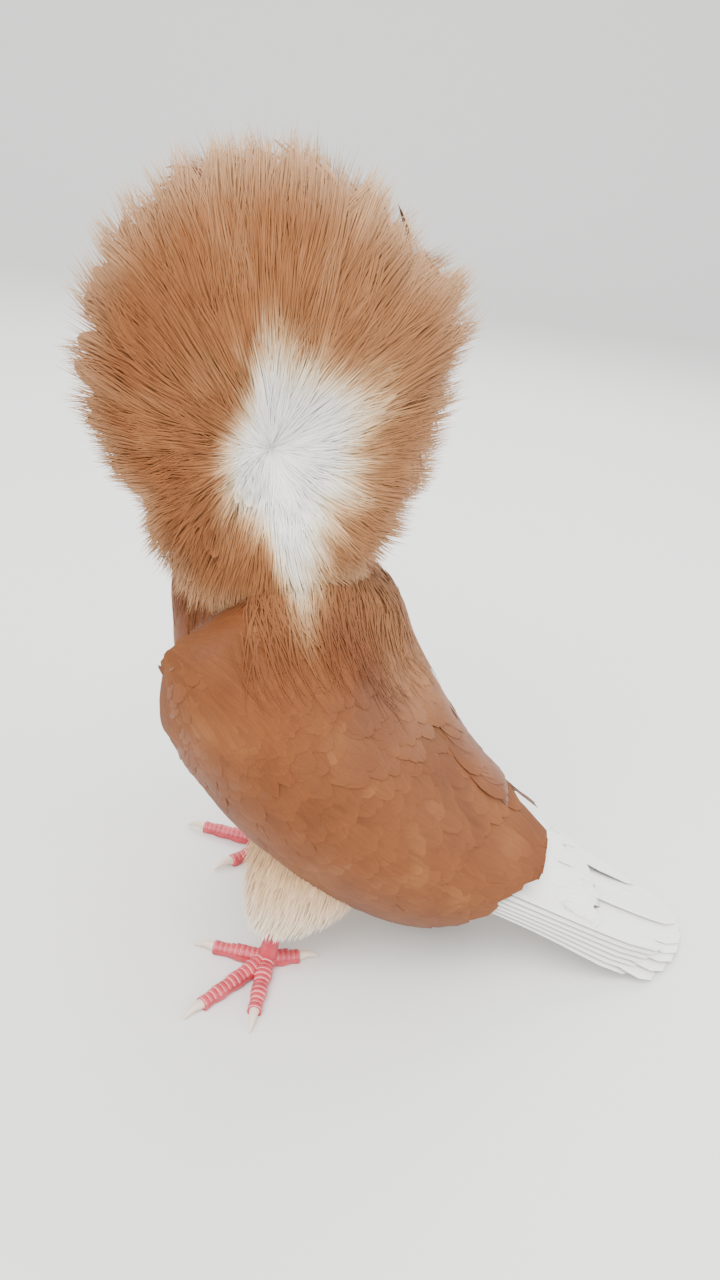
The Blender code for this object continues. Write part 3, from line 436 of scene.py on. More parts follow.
def plumage_finish(name, roughness, streaks, contrast, bump, sheen):
    """Feather keratin: matt, softly streaked along the barbs, with a faint sheen where it is seen edge on.

    streaks counts the noise across a feather, along it and from one feather to the next.
    """
    made = bpy.data.materials.new(name)
    made.use_nodes = True
    tree = made.node_tree
    shader = tree.nodes["Principled BSDF"]
    tint = node(tree, "ShaderNodeAttribute", {"attribute_name": "tint"})
    grain = node(tree, "ShaderNodeAttribute", {"attribute_name": "grain"})
    barbs = node(tree, "ShaderNodeMapping", {}, {"Vector": grain.outputs["Vector"], "Scale": streaks})
    noise = node(tree, "ShaderNodeTexNoise", {}, {"Vector": barbs.outputs[0], "Scale": 1.0, "Detail": 2.0})
    # Socket 0 is what is measured or scaled, 1 and 2 its range, 3 and 4 the range that it becomes.
    pale = 1.0 + contrast * 0.5
    levels = {0: noise.outputs["Fac"], 1: 0.3, 2: 0.7, 3: 1.0 - contrast, 4: pale}
    depth = node(tree, "ShaderNodeMapRange", {}, levels)
    scaled = {0: tint.outputs["Color"], "Scale": depth.outputs[0]}
    colour = node(tree, "ShaderNodeVectorMath", {"operation": "SCALE"}, scaled)
    relief = {"Strength": bump, "Distance": 0.0004, "Height": noise.outputs["Fac"]}
    raised = node(tree, "ShaderNodeBump", {}, relief)
    tree.links.new(colour.outputs[0], shader.inputs["Base Color"])
    tree.links.new(raised.outputs[0], shader.inputs["Normal"])
    shader.inputs["Roughness"].default_value = roughness
    shader.inputs["Specular IOR Level"].default_value = 0.2
    shader.inputs["Sheen Weight"].default_value = sheen
    shader.inputs["Sheen Roughness"].default_value = 0.5
    return made


# Long loose feathers of hood and neck: fine streaks and a silky glow at the edges.
silky_feather = plumage_finish("silky_feather", 0.75, (9.0, 1.2, 9.0), 0.14, 0.25, 0.12)
# Close-lying feathers of wings and body: smoother, so that the light runs over them, and hardly any glow.
sleek_feather = plumage_finish("sleek_feather", 0.62, (5.0, 2.4, 9.0), 0.12, 0.35, 0.03)
# Stiff white flights and tail: the firmest vanes, faintly lined along the barbs.
flight_feather = plumage_finish("white_flight_feather", 0.5, (9.0, 2.6, 9.0), 0.05, 0.4, 0.1)
# Down: quite matt, with the most glow where the light comes through its edge.
soft_down = plumage_finish("soft_down", 0.85, (2.0, 1.0, 9.0), 0.1, 0.2, 0.25)


def bird_points(mesh):
    """A mesh's vertices in the bird's own millimetres."""
    co = np.empty(len(mesh.vertices) * 3)
    mesh.vertices.foreach_get("co", co)
    return (co.reshape(-1, 3) - PLACE) / MM


# The skin's grain repeats about every 5 mm, and the skin is a little darker than the feathers on it.
SKIN_GRAIN, SKIN_DARKER = 0.2, 0.95
skin_at = bird_points(skin_mesh)
paint(skin_mesh, plumage(skin_at, 0.0, True) * SKIN_DARKER)
skin_grain = skin_mesh.attributes.new("grain", "FLOAT_VECTOR", "POINT")
skin_grain.data.foreach_set("vector", (skin_at * SKIN_GRAIN).astype(np.float32).ravel())
skin_map = skin_mesh.uv_layers.new(name="OFBake")
corner = np.empty(len(skin_mesh.loops), int)
skin_mesh.loops.foreach_get("vertex_index", corner)
# The map unrolls the skin round the neck's axis, with its height upwards.
NECK_AXIS_Y, SKIN_HEIGHT = -14, 290
round_neck = np.arctan2(skin_at[:, 0], skin_at[:, 1] - NECK_AXIS_Y) / (2 * math.pi) + 0.5
unrolled = np.stack((round_neck, skin_at[:, 2] / SKIN_HEIGHT), -1)[corner]
skin_map.data.foreach_set("uv", unrolled.astype(np.float32).ravel())
skin_mesh.materials.clear()
skin_mesh.materials.append(soft_down)
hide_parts("torso", "neck", "head")
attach(skin, "root")

# Hood, mane and chain
# Long silky feathers part from the rose on each side of the neck: up and over the head as the hood, back
# and down as the mane, forward and down as the chain. Each is a lock of fine keratin barbs, and stiffer
# vanes under them carry the form. They root in rows, shorter feathers over the roots of longer ones.

# Distance of the rim from the rose, and of the rim from the middle plane, by the angle round the rose.
RIM = (
    (-100, 59), (-77, 61), (-60, 58), (-43, 59), (-21, 57), (-2, 60), (21, 67), (37, 81), (47, 86),
    (55, 82), (63, 86), (75, 91), (93, 95), (112, 93), (125, 88), (136, 80), (149, 70), (161, 62),
    (177, 52), (199, 42), (227, 47), (255, 56), (270, 59),
)
RIM_OUT = ((-100, 34), (-45, 22), (0, 14), (90, 26), (165, 57), (210, 55), (270, 36))
DISH_BULGE = 54.0
SIDES = (("left", 1), ("right", -1))
# Size of each feather's patch on the map, about its root's place.
UNWRAP_PATCH = 0.003
MANE_SPAN, HOOD_SPAN, CHAIN_SPAN = (-98, 42), (42, 138), (138, 262)


def dish(share, angle, inward):
    """A point of the left ruff's face: share 0 at the rose, 1 at the rim; inward 1 at the middle plane."""
    turn = np.radians(angle)
    far = eased(RIM, angle) * share
    bulge = 2 * share * (1 - share) * DISH_BULGE
    out = ROSE[0] * (1 - share) ** 2 + bulge + share**2 * eased(RIM_OUT, angle)
    out = out + (3.0 - out) * inward
    return np.stack((out, ROSE[1] + far * np.cos(turn), ROSE[2] + far * np.sin(turn)), -1)


def dish_facing(share, angle, inward):
    a = dish(share + 0.02, angle, inward) - dish(share - 0.02, angle, inward)
    b = dish(share, angle + 1.5, inward) - dish(share, angle - 1.5, inward)
    face = unit(np.cross(a, b))
    return face * np.where(face[..., :1] < 0, -1, 1)


def feathers(centre, left, right, up, thick, roots, colours, seeds, ridge, round_off=0.15):
    """Arrays of many feathers, each a closed tapered vane with its shaft raised a little.

    centre, left and right are (feathers, sections + 1, 3) in the bird's millimetres. up says where the
    upper faces look, thick how high the shaft stands, roots where each root is on the unwrap, and colours
    has one for each section and the tip. With ridge a section has three points, else four. round_off is
    how far the normals turn away from the coat's own towards the edges.
    """
    count, sections = centre.shape[0], centre.shape[1] - 1
    body = slice(0, sections)
    ring = [left[:, body], centre[:, body] + up[:, body] * thick[:, body, None], right[:, body]]
    if not ridge:
        ring.append(centre[:, body] - up[:, body] * thick[:, body, None])
    around = len(ring)
    each = sections * around + 1
    points = np.concatenate((np.stack(ring, 2).reshape(count, each - 1, 3), centre[:, sections:]), 1)
    side = unit(right - left)
    turns = [up - side * round_off, up, up + side * round_off, up][:around]
    normals = np.stack([unit(turn[:, body]) for turn in turns], 2).reshape(count, each - 1, 3)
    normals = np.concatenate((normals, up[:, sections:]), 1)
    k, i = np.meshgrid(np.arange(sections - 1), np.arange(around), indexing="ij")
    j = (i + 1) % around
    here, beyond = k * around, (k + 1) * around
    quads = np.stack((here + i, here + j, beyond + j, beyond + i), -1).reshape(-1)
    above = np.repeat((i < 2).reshape(-1), 4)
    base = (sections - 1) * around
    tips = np.array([(base + a, base + (a + 1) % around, each - 1) for a in range(around)]).reshape(-1)
    corners = np.concatenate((quads, tips, np.arange(around)[::-1]))
    above = np.concatenate((above, np.repeat(np.arange(around) < 2, 3), np.zeros(around, bool)))
    # The margin that a point lies on: 1 left, 2 right, 3 the tip, 0 none; at the root 4 is added.
    margin = np.tile(np.array([1, 0, 2, 0][:around]), sections)
    margin[:around] += 4
    margin = np.append(margin, 3)
    sizes = np.array([4] * (len(quads) // 4) + [3] * around + [around])
    grain = np.zeros((count, each, 3))
    grain[:, :-1, 0] = np.tile(np.array([-1.0, 0.0, 1.0, 0.0][:around]), sections)
    grain[:, :-1, 1] = np.repeat(np.linspace(0, 1, sections + 1)[:-1], around)
    grain[:, -1, 1] = 1
    grain[:, :, 2] = seeds[:, None]
    patch = np.stack((grain[..., 0] * 0.5, grain[..., 1] - 0.5), -1) * UNWRAP_PATCH
    tint = np.concatenate((np.repeat(colours[:, body], around, axis=1), colours[:, sections:]), 1)
    return {
        "points": points.reshape(-1, 3),
        "corners": (corners[None] + (np.arange(count) * each)[:, None]).reshape(-1),
        "sizes": np.tile(sizes, count),
        "margin": np.tile(margin, count),
        "normals": (normals[:, corners] * np.where(above, 1, -1)[None, :, None]).reshape(-1, 3),
        "tint": tint.reshape(-1, 3),
        "grain": grain.reshape(-1, 3),
        "spots": (roots[:, None] + patch)[:, corners].reshape(-1, 2),
    }


def straight_sides(centre, faces, width):
    """Left and right edge of feathers that are flat across, and the true direction of their upper faces."""
    along = unit(np.gradient(centre, axis=1))
    side = unit(np.cross(along, faces))
    return centre - side * width[..., None], centre + side * width[..., None], np.cross(side, along)


def tie(piece, nodes):
    """Ties a finished piece to the frame: the solids it stands for and the body it rides."""
    if nodes:
        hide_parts(*nodes)
    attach(piece, "root")


def feathered(name, parts, finish, nodes):
    """Makes one piece of the feathers in parts, gives it its finish and ties it to the frame."""
    offsets = np.cumsum([0] + [len(part["points"]) for part in parts[:-1]])
    loops = np.concatenate([part["corners"] + start for part, start in zip(parts, offsets)])
    keys = ("points", "sizes", "margin", "normals", "tint", "grain", "spots")
    joint = {key: np.concatenate([part[key] for part in parts]) for key in keys}
    points, sizes, margin, normals, tint, grain, spots = joint.values()
    mesh = bpy.data.meshes.new(name)
    mesh.vertices.add(len(points))
    mesh.vertices.foreach_set("co", metres(points).astype(np.float32).ravel())
    mesh.loops.add(len(loops))
    mesh.loops.foreach_set("vertex_index", loops.astype(np.int32))
    mesh.polygons.add(len(sizes))
    mesh.polygons.foreach_set("loop_start", (np.cumsum(sizes) - sizes).astype(np.int32))
    mesh.update(calc_edges=True)
    # Upper and lower face part sharply along both edges of each feather.
    ends = np.empty(len(mesh.edges) * 2, np.int32)
    mesh.edges.foreach_get("vertices", ends)
    a, b = margin[ends.reshape(-1, 2)].T
    low, high = np.minimum(a % 4, b % 4), np.maximum(a % 4, b % 4)
    crease = ((low > 0) & ((low == high) | (high == 3))) | ((a > 3) & (b > 3))
    sharp = mesh.attributes.new("sharp_edge", "BOOLEAN", "EDGE")
    sharp.data.foreach_set("value", crease)
    paint(mesh, tint)
    kept = mesh.attributes.new("grain", "FLOAT_VECTOR", "POINT")
    kept.data.foreach_set("vector", grain.astype(np.float32).ravel())
    mesh.uv_layers.new(name="OFBake").data.foreach_set("uv", spots.astype(np.float32).ravel())
    mesh.shade_smooth()
    lie = mesh.attributes.new("custom_normal", "FLOAT_VECTOR", "CORNER")
    lie.data.foreach_set("vector", normals.astype(np.float32).ravel())
    mesh.materials.append(finish)
    piece = bpy.data.objects.new(name, mesh)
    bpy.context.scene.collection.objects.link(piece)
    tie(piece, nodes)


# Half width of one barb at its root, and how far a vane's shaft rises.
BARB_HALF, VANE_RISE = 0.26, 0.25
BARBS_IN_LOCK, BARBS_INSIDE = 20, 12
# Middle and half sizes of the space round the head that the inner feathers leave free.
HEAD_CLEAR = np.array(((0, -29, 254), (23, 31, 21)), float)
# How far the light on the inner feathers comes from their tips, as on fluff.
TIP_LIGHT = {HOOD_SPAN: 0.9, MANE_SPAN: 0.3, CHAIN_SPAN: 0.2}
# Lowest and highest angle of the inner feathers at the outer face, and how far these move by the middle
# plane, so that the face stays clear in front, and the back of the neck below.
FACE_CLEAR = {HOOD_SPAN: (42, 0, 136, -32), MANE_SPAN: (-98, 24, 42, 0), CHAIN_SPAN: (140, 46, 258, 0)}
PALE_TIP = "E9C69A"
# The lowest feathers of the chain roll out over the breast: the middle angle, its reach and how far.
CHAIN_ROLL = (240, 24, 6.0)
# Inward is from, to and gained on the way to the tip: 0 on the outer face, 1 at the middle plane.
LEVEL = (0.0, 0.0, 0.0)
# Rows: number, root from and to, length from and to, inward, depth of root and tip, half width, bend, and
# how far they stand off at the tip. Rows on the outer face reach this many degrees past their span.
PAST_SPAN = 2
BASE_ROWS = (
    (80, (0.3, 0.5), (0.42, 0.5), LEVEL, (9, 4.6), 4.0, 0, 0.0),
    (70, (0.05, 0.25), (0.4, 0.5), LEVEL, (7, 3.8), 3.6, 0, 0.0),
    (40, (-0.04, 0.05), (0.28, 0.36), LEVEL, (3.5, 3.0), 2.6, 0, 0.0),
)
BARB_ROWS = (
    (84, (0.42, 0.66), (0.36, 0.5), LEVEL, (5.5, 3.0), 3.3, 0, 1.2),
    (76, (0.24, 0.46), (0.34, 0.46), LEVEL, (5.0, 1.8), 3.1, 0, 1.0),
    (50, (0.08, 0.3), (0.3, 0.42), LEVEL, (4.4, 0.8), 2.7, 0, 0.8),
    (34, (-0.07, 0.08), (0.22, 0.34), LEVEL, (2.4, 0.4), 2.4, 0, 0.5),
)
# Each part of the ruff: its span, then its row of vanes and its row of barbs between the outer faces, which
# the front and the back of the bird show.
RUFF = {
    "hood": (
        HOOD_SPAN,
        (230, (0.36, 0.6), (0.32, 0.4), (0.1, 1.0, 0.04), (5, 3), 2.3, 26, 0.0),
        (150, (0.4, 0.74), (0.28, 0.42), (0.16, 1.0, 0.03), (3, 0.6), 3.4, 26, 0.0),
    ),
    "mane": (
        MANE_SPAN,
        (180, (0.3, 0.58), (0.34, 0.42), (0.1, 1.0, 0.04), (5, 3), 2.5, -24, 0.0),
        (120, (0.36, 0.7), (0.32, 0.42), (0.16, 1.0, 0.03), (3, 0.6), 3.4, -24, 0.0),
    ),
    "chain": (
        CHAIN_SPAN,
        (230, (0.3, 0.56), (0.34, 0.42), (0.1, 0.96, 0.1), (5, 3), 2.3, 12, 0.0),
        (150, (0.36, 0.68), (0.3, 0.4), (0.16, 0.97, 0.08), (3, 0.6), 3.4, 12, 0.0),
    ),
}
VANE_SHARES = np.array((0, 0.2, 0.4, 0.6, 0.76, 0.88, 0.96, 1.0))
BARB_SHARES = np.linspace(0, 1, 5)


def lock_plan(rng, span, row, strands):
    """Each feather's angle, root, tip, nearness, depth, bend, own chance, sway and place in its lock."""
    count, start, end, inward, depth, _, bend, _ = row
    inner = inward[1] > 0
    low, high = span if inner else (span[0] - PAST_SPAN, span[1] + PAST_SPAN)
    order = rng.permutation(count)
    angle = low + (high - low) * (order + rng.uniform(0, 1, count)) / count
    root = rng.uniform(*start, count)
    turn = bend + rng.normal(0, 3.0, count)
    longest = rng.uniform(0.96, 0.985, count) if strands else rng.uniform(0.88, 0.93, count)
    near = rng.uniform(inward[0], inward[1], count)
    if inner:
        # The crown is highest in the middle.
        longest = rng.uniform(0.82, 0.9, count) + 0.06 * near
        first, first_moved, last, last_moved = FACE_CLEAR[span]
        angle = np.clip(angle, first + first_moved * near, last + last_moved * near)
    tip = np.minimum(root + rng.uniform(*end, count), longest)
    near = np.stack((near, np.minimum(near + inward[2], 1)), -1)
    vary = rng.normal(0, 0.3, count)
    deep = np.stack([rng.normal(d, 0.4, count) for d in depth], -1)
    sway = rng.normal(0, 1, (count, 2))
    if not strands:
        return angle, root, tip, near, deep, turn, vary, sway, np.zeros(count)
    # Each feather becomes its barbs, which spread from -1 on its left to 1 on its right.
    spread = np.linspace(-1, 1, strands)[None] + rng.normal(0, 0.2, (count, strands))
    tip = tip[:, None] - 0.01 * spread**2 + rng.normal(0, 0.012 if inner else 0.028, (count, strands))
    deep = deep[:, None] + np.stack((np.abs(spread) * 0.4, np.abs(spread) * 0.3), -1)
    deep = deep + rng.normal(0, 0.22, deep.shape)
    vary = vary[:, None] * 0.8 + rng.normal(0, 0.16, (count, strands))
    angle, root, turn = (np.repeat(v, strands) for v in (angle, root, turn))
    root = root + rng.uniform(-0.04, 0.04, (count, strands)).reshape(-1)
    near, sway = (np.repeat(v, strands, axis=0) for v in (near, sway))
    tip, vary, spread = (v.reshape(-1) for v in (tip, vary, spread))
    return angle, root, tip, near, deep.reshape(-1, 2), turn, vary, sway, spread


def lock_path(rng, span, row, plan, t, share):
    """The feathers' middle lines on the left side, with the way that their upper faces look."""
    _, _, _, inward, _, half, bend, flare = row
    angle, root, _, near, deep, turn, _, sway, spread = plan
    inner = inward[1] > 0
    reach = eased(RIM, np.clip(angle, -98, 268))[:, None] * np.maximum(share, 0.14)
    fan = spread[:, None] * half * (0.5 + 1.1 * t - 0.75 * t**2)
    fan = fan + rng.normal(0, 0.2, (len(root), 1)) * t * half
    fan = fan + sway[:, :1] * np.sin(t * 3.4 + sway[:, 1:]) * 0.5
    turned_to = angle[:, None] - bend * 0.7 + turn[:, None] * t**1.5
    at = turned_to + np.degrees(fan / reach) * (0.25 if inner else 1)
    close = near[:, :1] + (near[:, 1:] - near[:, :1]) * t
    face = dish_facing(share, at, close)
    sunk = deep[:, 1:] + (deep[:, :1] - deep[:, 1:]) * (1 - t) ** 1.5
    middle, reach_of_roll, rolled = CHAIN_ROLL
    off = flare + rolled * np.clip(1 - np.abs(angle[:, None] - middle) / reach_of_roll, 0, 1) * (not inner)
    path = dish(share, at, close) - face * (sunk - off * t**3)[..., None]
    if not inner:
        return path, face
    off_head = (path - HEAD_CLEAR[0]) / HEAD_CLEAR[1]
    inside = np.maximum(np.linalg.norm(off_head, axis=-1, keepdims=True), 0.2)
    path = np.where(inside < 1, HEAD_CLEAR[0] + off_head / inside * HEAD_CLEAR[1], path)
    # These locks lie across the bird, so they look forwards or backwards instead of sideways.
    path[..., 0] = np.maximum(path[..., 0] + fan, 0.4)
    way = np.cross(unit(np.gradient(path, axis=1)), (1.0, 0, 0))
    looks = {HOOD_SPAN: rng.choice((-1, 1), (len(root), 1, 1)), MANE_SPAN: -1, CHAIN_SPAN: 1}[span]
    return path, unit(way * looks + face * 0.4)


def lock_colours(path, vary, t, share, inner):
    """The plumage's colours, paler at the rim, with painted shade darker towards the roots."""
    colours = plumage(path, vary[:, None])
    ends = np.clip((share - 0.76) / 0.24, 0, 1)[..., None] ** 1.4
    high = 0.45 + 0.25 * np.clip((path[..., 2:] - 230) / 50, 0, 1)
    colours = colours + (linear(PALE_TIP) - colours) * ends * high * (0.4 if inner else 1)
    # Painted shade: darker towards the roots, deep in the ruff where the locks lie over one another.
    return colours * (1 - 0.25 * (1 - t[..., None]) ** 2 * np.clip(share[..., None] * 2.2 - 0.5, 0, 1))


def locks(rng, side, span, row, strands):
    """A row of ruff feathers: strands 0 gives broad vanes, any other number the barbs of each feather."""
    inner = row[3][1] > 0
    plan = lock_plan(rng, span, row, strands)
    angle, root, tip, vary = (plan[k] for k in (0, 1, 2, 6))
    t = (BARB_SHARES if strands else VANE_SHARES)[None]
    share = root[:, None] + (tip - root)[:, None] * t
    path, face = lock_path(rng, span, row, plan, t, share)
    colours = lock_colours(path, vary, t, share, inner)
    if strands:
        width = BARB_HALF * (1 - 0.84 * t**2) * np.ones_like(share)
        thick = width * 0.5
    else:
        rounded = np.sqrt(1 - np.clip((t - 0.5) / 0.5, 0, 0.99) ** 2.4)
        width = row[5] * (0.5 + 0.5 * np.minimum(1, t * 2.4)) * rounded * np.ones_like(share)
        thick = VANE_RISE * np.ones_like(share)
    mirror = np.array((side, 1, 1))
    left, right, up = straight_sides(path * mirror, face * mirror, width)
    if inner:
        up = unit(up + unit(np.gradient(path * mirror, axis=1)) * TIP_LIGHT[span])
    turned = np.radians(angle)
    roots = np.stack((np.cos(turned), np.sin(turned)), -1) * (root * 0.45)[:, None] + 0.5
    seeds = rng.uniform(0, 50, len(root))
    round_off = 0.45 if strands else 0.1
    return feathers(path * mirror, left, right, up, thick, roots, colours, seeds, bool(strands), round_off)


for side_name, side in SIDES:
    for number, (field, (span, inner_vanes, inner_barbs)) in enumerate(RUFF.items()):
        chance = np.random.default_rng(100 + number * 10 + (side > 0))
        made = [locks(chance, side, span, row, 0) for row in (*BASE_ROWS, inner_vanes)]
        made += [locks(chance, side, span, row, BARBS_IN_LOCK) for row in BARB_ROWS]
        made.append(locks(chance, side, span, inner_barbs, BARBS_INSIDE))
        solid = f"{field}_{side_name}"
        feathered(f"{solid}_feathers", made, silky_feather, [solid])

# Neck and shoulders
# Short firm feathers run down the front and back of the neck. From its foot longer, smooth ones lie over
# the shoulders and hide the upper edge of each wing; they are rooted on a soft form drawn over neck, breast
# and wings.
VANE, BARB = False, True
TO_LOW_END, TO_HIGH_END = (-1.0, 0.0), (1.0, 0.0)
ALL_ROUND = (0, 2 * math.pi)
# The plumage is fuller than the flesh at the flanks, so that it meets the wings.
PLUMAGE_WIDER = np.array((2, 7, 9, 9, 7, 4, 2, 0))
FLANK_SQUARE = 0.68
MANTLE_VOXEL = 2.4
MANTLE_SMOOTHING = {"factor": 0.6, "iterations": 26}
# Middle and half sizes of the cushion of feathers that fills the hollow behind the wing's front edge.
HOLLOW_FILL = np.array(((46, -26, 122), (13, 16, 32)), float)
# The mantle's form starts just over the wing's outer face, and is this thick there.
MANTLE_ON_WING = (-0.2, 9.2)
WING_TANS = ((-1, "5A2E10"), (-0.15, "6E3C1A"), (0.25, "75421E"), (1, "8E5A32"))
WING_DARK, WING_LIGHT = "6A3A18", "A67448"


def feather_width(t, strand, round_at):
    """Share of the full width along a feather: a strand thins to its tip, a vane ends round."""
    if strand:
        return 1 - 0.88 * t**1.8
    end = np.sqrt(1 - np.clip((t - round_at) / (1 - round_at), 0, 0.985) ** 2)
    return (0.5 + 0.5 * np.minimum(1, t * 2.2)) * end


def feather_height(width, strand):
    return width * 0.6 if strand else 0 * width + 0.14


def shares_along(sections, strand):
    return np.linspace(0, 1, sections + 1) if strand else np.append(np.linspace(0, 0.95, sections), 1)


def contour(rng, surface, roots, toward, length, half, lift, strand, sections=6, curl=0.0, round_at=0.55):
    """Feathers laid on a surface; toward is the way they lie, in shares of its two directions.

    length and half are millimetres from and to; lift is how high root and tip stand over the surface.
    """
    place = surface[0]
    u0, v0 = roots
    count = len(u0)
    step = 0.01
    du, dv = (np.full(count, way) for way in toward)
    speed = np.linalg.norm(place(u0 + du * step, v0 + dv * step) - place(u0, v0), axis=-1) / step
    scale = (rng.uniform(*length, count) / np.maximum(speed, 1e-3))[:, None]
    t = shares_along(sections, strand)[None]
    bend = rng.normal(0, 0.22 if strand else 0.08, (count, 1)) * t**1.5 * scale
    uu = u0[:, None] + du[:, None] * scale * t - dv[:, None] * bend
    vv = v0[:, None] + dv[:, None] * scale * t + du[:, None] * bend
    face = facing(surface, uu, vv)
    stand = lift[0] + (lift[1] - lift[0]) * t**0.8 + curl * t**3
    stand = stand + rng.normal(0, 0.5 if strand else 0.08, (count, 1)) * t
    centre = place(uu, vv) + face * stand[..., None]
    width = rng.uniform(*half, count)[:, None] * feather_width(t, strand, round_at)
    left, right, up = straight_sides(centre, face, width)
    if not strand:
        # The edges follow the surface, so that neighbours lie flush on a curve.
        side = unit(right - left)
        pu = (place(uu + step, vv) - place(uu - step, vv)) / (2 * step)
        pv = (place(uu, vv + step) - place(uu, vv - step)) / (2 * step)
        a, b, c, p, q = ((m * n).sum(-1) for m, n in ((pu, pu), (pu, pv), (pv, pv), (side, pu), (side, pv)))
        area = np.maximum(a * c - b * b, 1.0)
        eu = np.clip((c * p - b * q) / area * width, -0.12, 0.12)
        ev = np.clip((a * q - b * p) / area * width, -0.3, 0.3)
        at_sides = [(uu + way * eu, vv + way * ev) for way in (-1, 1)]
        left, right = (place(*at) + facing(surface, *at) * stand[..., None] for at in at_sides)
        up = face
    return centre, left, right, up, feather_height(width, strand), roots, strand


def grow(rng, surface, toward, kinds):
    """Feathers of some kinds at random roots on a surface.

    A kind is its number, shares along the surface, turns round it, and what contour() takes from length on.
    """
    grown = []
    for count, along, turns, *shape in kinds:
        roots = rng.uniform(*along, count), rng.uniform(*turns, count)
        grown.append(contour(rng, surface, roots, toward, *shape))
    return grown


def laid(rng, grown, shade=plumage, pale_tip=0.0, chance=0.3, roots=None):
    """Feathers from what contour() or mantle() gives, coloured by shade, with painted shade towards the
    roots; pale_tip lightens the tips.
    """
    centre, left, right, up, thick, (u, v), strand = grown
    colours = shade(centre, rng.normal(0, chance, (len(centre), 1)))
    t = np.linspace(0, 1, centre.shape[1])[None, :, None]
    # Painted shade: each feather is darker towards its root, where the ones above cover it; pale_tip also
    # lightens the tip and dims the rest a little.
    colours = colours * (1 - 0.2 * (1 - t) ** 2) * (1 + pale_tip * np.clip((t - 0.84) / 0.14, -0.6, 1))
    seeds = rng.uniform(0, 50, len(centre))
    if roots is None:
        roots = np.stack((v / (2 * math.pi) % 1, np.clip(u, 0, 1)), -1) * 0.98 + 0.01
    return feathers(centre, left, right, up, thick, roots, colours, seeds, strand, 0.45 if strand else 0.12)


def white_headed(points, vary):
    return plumage(points, vary, True)


def wing_shade(points, vary):
    """Deep tan on shoulders and wings, darker to the tips of the secondaries and lighter along the back."""
    x, y, z = np.moveaxis(points, -1, 0)
    mottle = wave(points, 46, 1.2) * 0.4 + wave(points, 17, 0.4) * 0.25 + vary * 0.35
    shade = ramp(mottle, WING_TANS)
    dark = np.clip((58 - z) / 34, 0, 1)[..., None]
    light = np.clip((36 - np.abs(x)) / 16, 0, 1) * np.clip((z - 92) / 30, 0, 1)
    light = light * np.clip((y + 16) / 30, 0, 1)
    shade = shade + (linear(WING_DARK) - shade) * dark * 0.5
    return shade + (linear(WING_LIGHT) - shade) * light[..., None] * 0.4


def mantle_shade(points, vary):
    """The hood's colours with the white streak above, the wing's colours below."""
    low = np.clip((172 - points[..., 2]) / 26, 0, 1)
    distance = np.hypot(points[..., 1] - ROSE[1], points[..., 2] - ROSE[2])
    star = np.clip(1.6 - distance / eased(STAR, rose_angle(points)), 0, 1) * (np.abs(points[..., 0]) > 13)
    low = (low * (1 - star))[..., None]
    return plumage(points, vary) * (1 - low) + wing_shade(points, vary) * low


def cushion_rows(side):
    """Rings of the cushion that fills the hollow behind the wrist."""
    turns = around_turns(24)
    rows = []
    for lean in np.linspace(0.1, math.pi - 0.1, 12):
        level = np.stack((np.cos(turns), np.sin(turns)), -1) * math.sin(lean)
        ring = np.column_stack((level, np.full(24, math.cos(lean))))
        rows.append((HOLLOW_FILL[0] + ring * HOLLOW_FILL[1]) * (side, 1, 1))
    return rows


def saddle_rows():
    """Rings of the bridge of feathers over the back, from wing to wing."""
    rows = []
    for along in np.linspace(0.12, 0.86, 16):
        upper = through(WING_STATIONS, np.array([along]))[0, 0]
        half = upper[0] + 8
        x = np.linspace(half, -half, 12)
        top = np.stack((x, upper[1] + 0 * x, upper[2] + 3.0 * (1 - (x / half) ** 2)), -1)
        rows.append(np.concatenate((top, (top - (0, 8, 10))[::-1])))
    return rows


full_stations = BODY_STATIONS.copy()
full_stations[:, 2] += PLUMAGE_WIDER
body_surface = column(full_stations, 0.0, FLANK_SQUARE)
neck_surface = column(NECK_STATIONS)
mantle_forms = [ring_rows(body_surface, np.linspace(0, 1, 24))]
mantle_forms.append(ring_rows(column(NECK_STATIONS, 1.5), np.linspace(0, 0.8, 18)))
along, across = np.linspace(0.0, 0.8, 18), np.linspace(0.0, 1.0, 18)
mantle_forms += [wing_rows(side, along, across, *MANTLE_ON_WING) for side in (1, -1)]
mantle_forms += [cushion_rows(1), cushion_rows(-1), saddle_rows()]
drawn = melted("mantle_form", mantle_forms, MANTLE_VOXEL, "SMOOTH", MANTLE_SMOOTHING)
drawn_faces = [tuple(face.vertices) for face in drawn.polygons]
drawn_normals = np.empty(len(drawn.vertices) * 3)
drawn.vertices.foreach_get("normal", drawn_normals)
drawn_normals = drawn_normals.reshape(-1, 3)
mantle_tree = BVHTree.FromPolygons(bird_points(drawn).tolist(), drawn_faces)
bpy.data.meshes.remove(drawn)


def on_mantle(points):
    """Nearest places on the mantle's form, and its soft normals there."""
    found = [mantle_tree.find_nearest(Vector(p)) for p in points.reshape(-1, 3)]
    places = np.array([hit[0] for hit in found])
    normals = unit(np.array([drawn_normals[list(drawn_faces[hit[2]])].mean(0) for hit in found]))
    return places.reshape(points.shape), normals.reshape(points.shape)


def mantle_flow(points):
    """The lie of the mantle: down the neck and breast, and back along the wings."""
    x, y, z = np.moveaxis(points, -1, 0)
    back = np.clip((150 - z) / 26, 0, 1) * np.clip((y + 46) / 22, 0, 1)
    down = np.stack((0.25 * np.sign(x) * np.clip(np.abs(x) / 20, 0, 1), 0.1 + 0 * y, -1 + 0 * z), -1)
    along = np.stack((-0.1 * np.sign(x), 0.8 + 0 * y, -0.62 + 0 * z), -1)
    return unit(down + (along - down) * back[..., None])


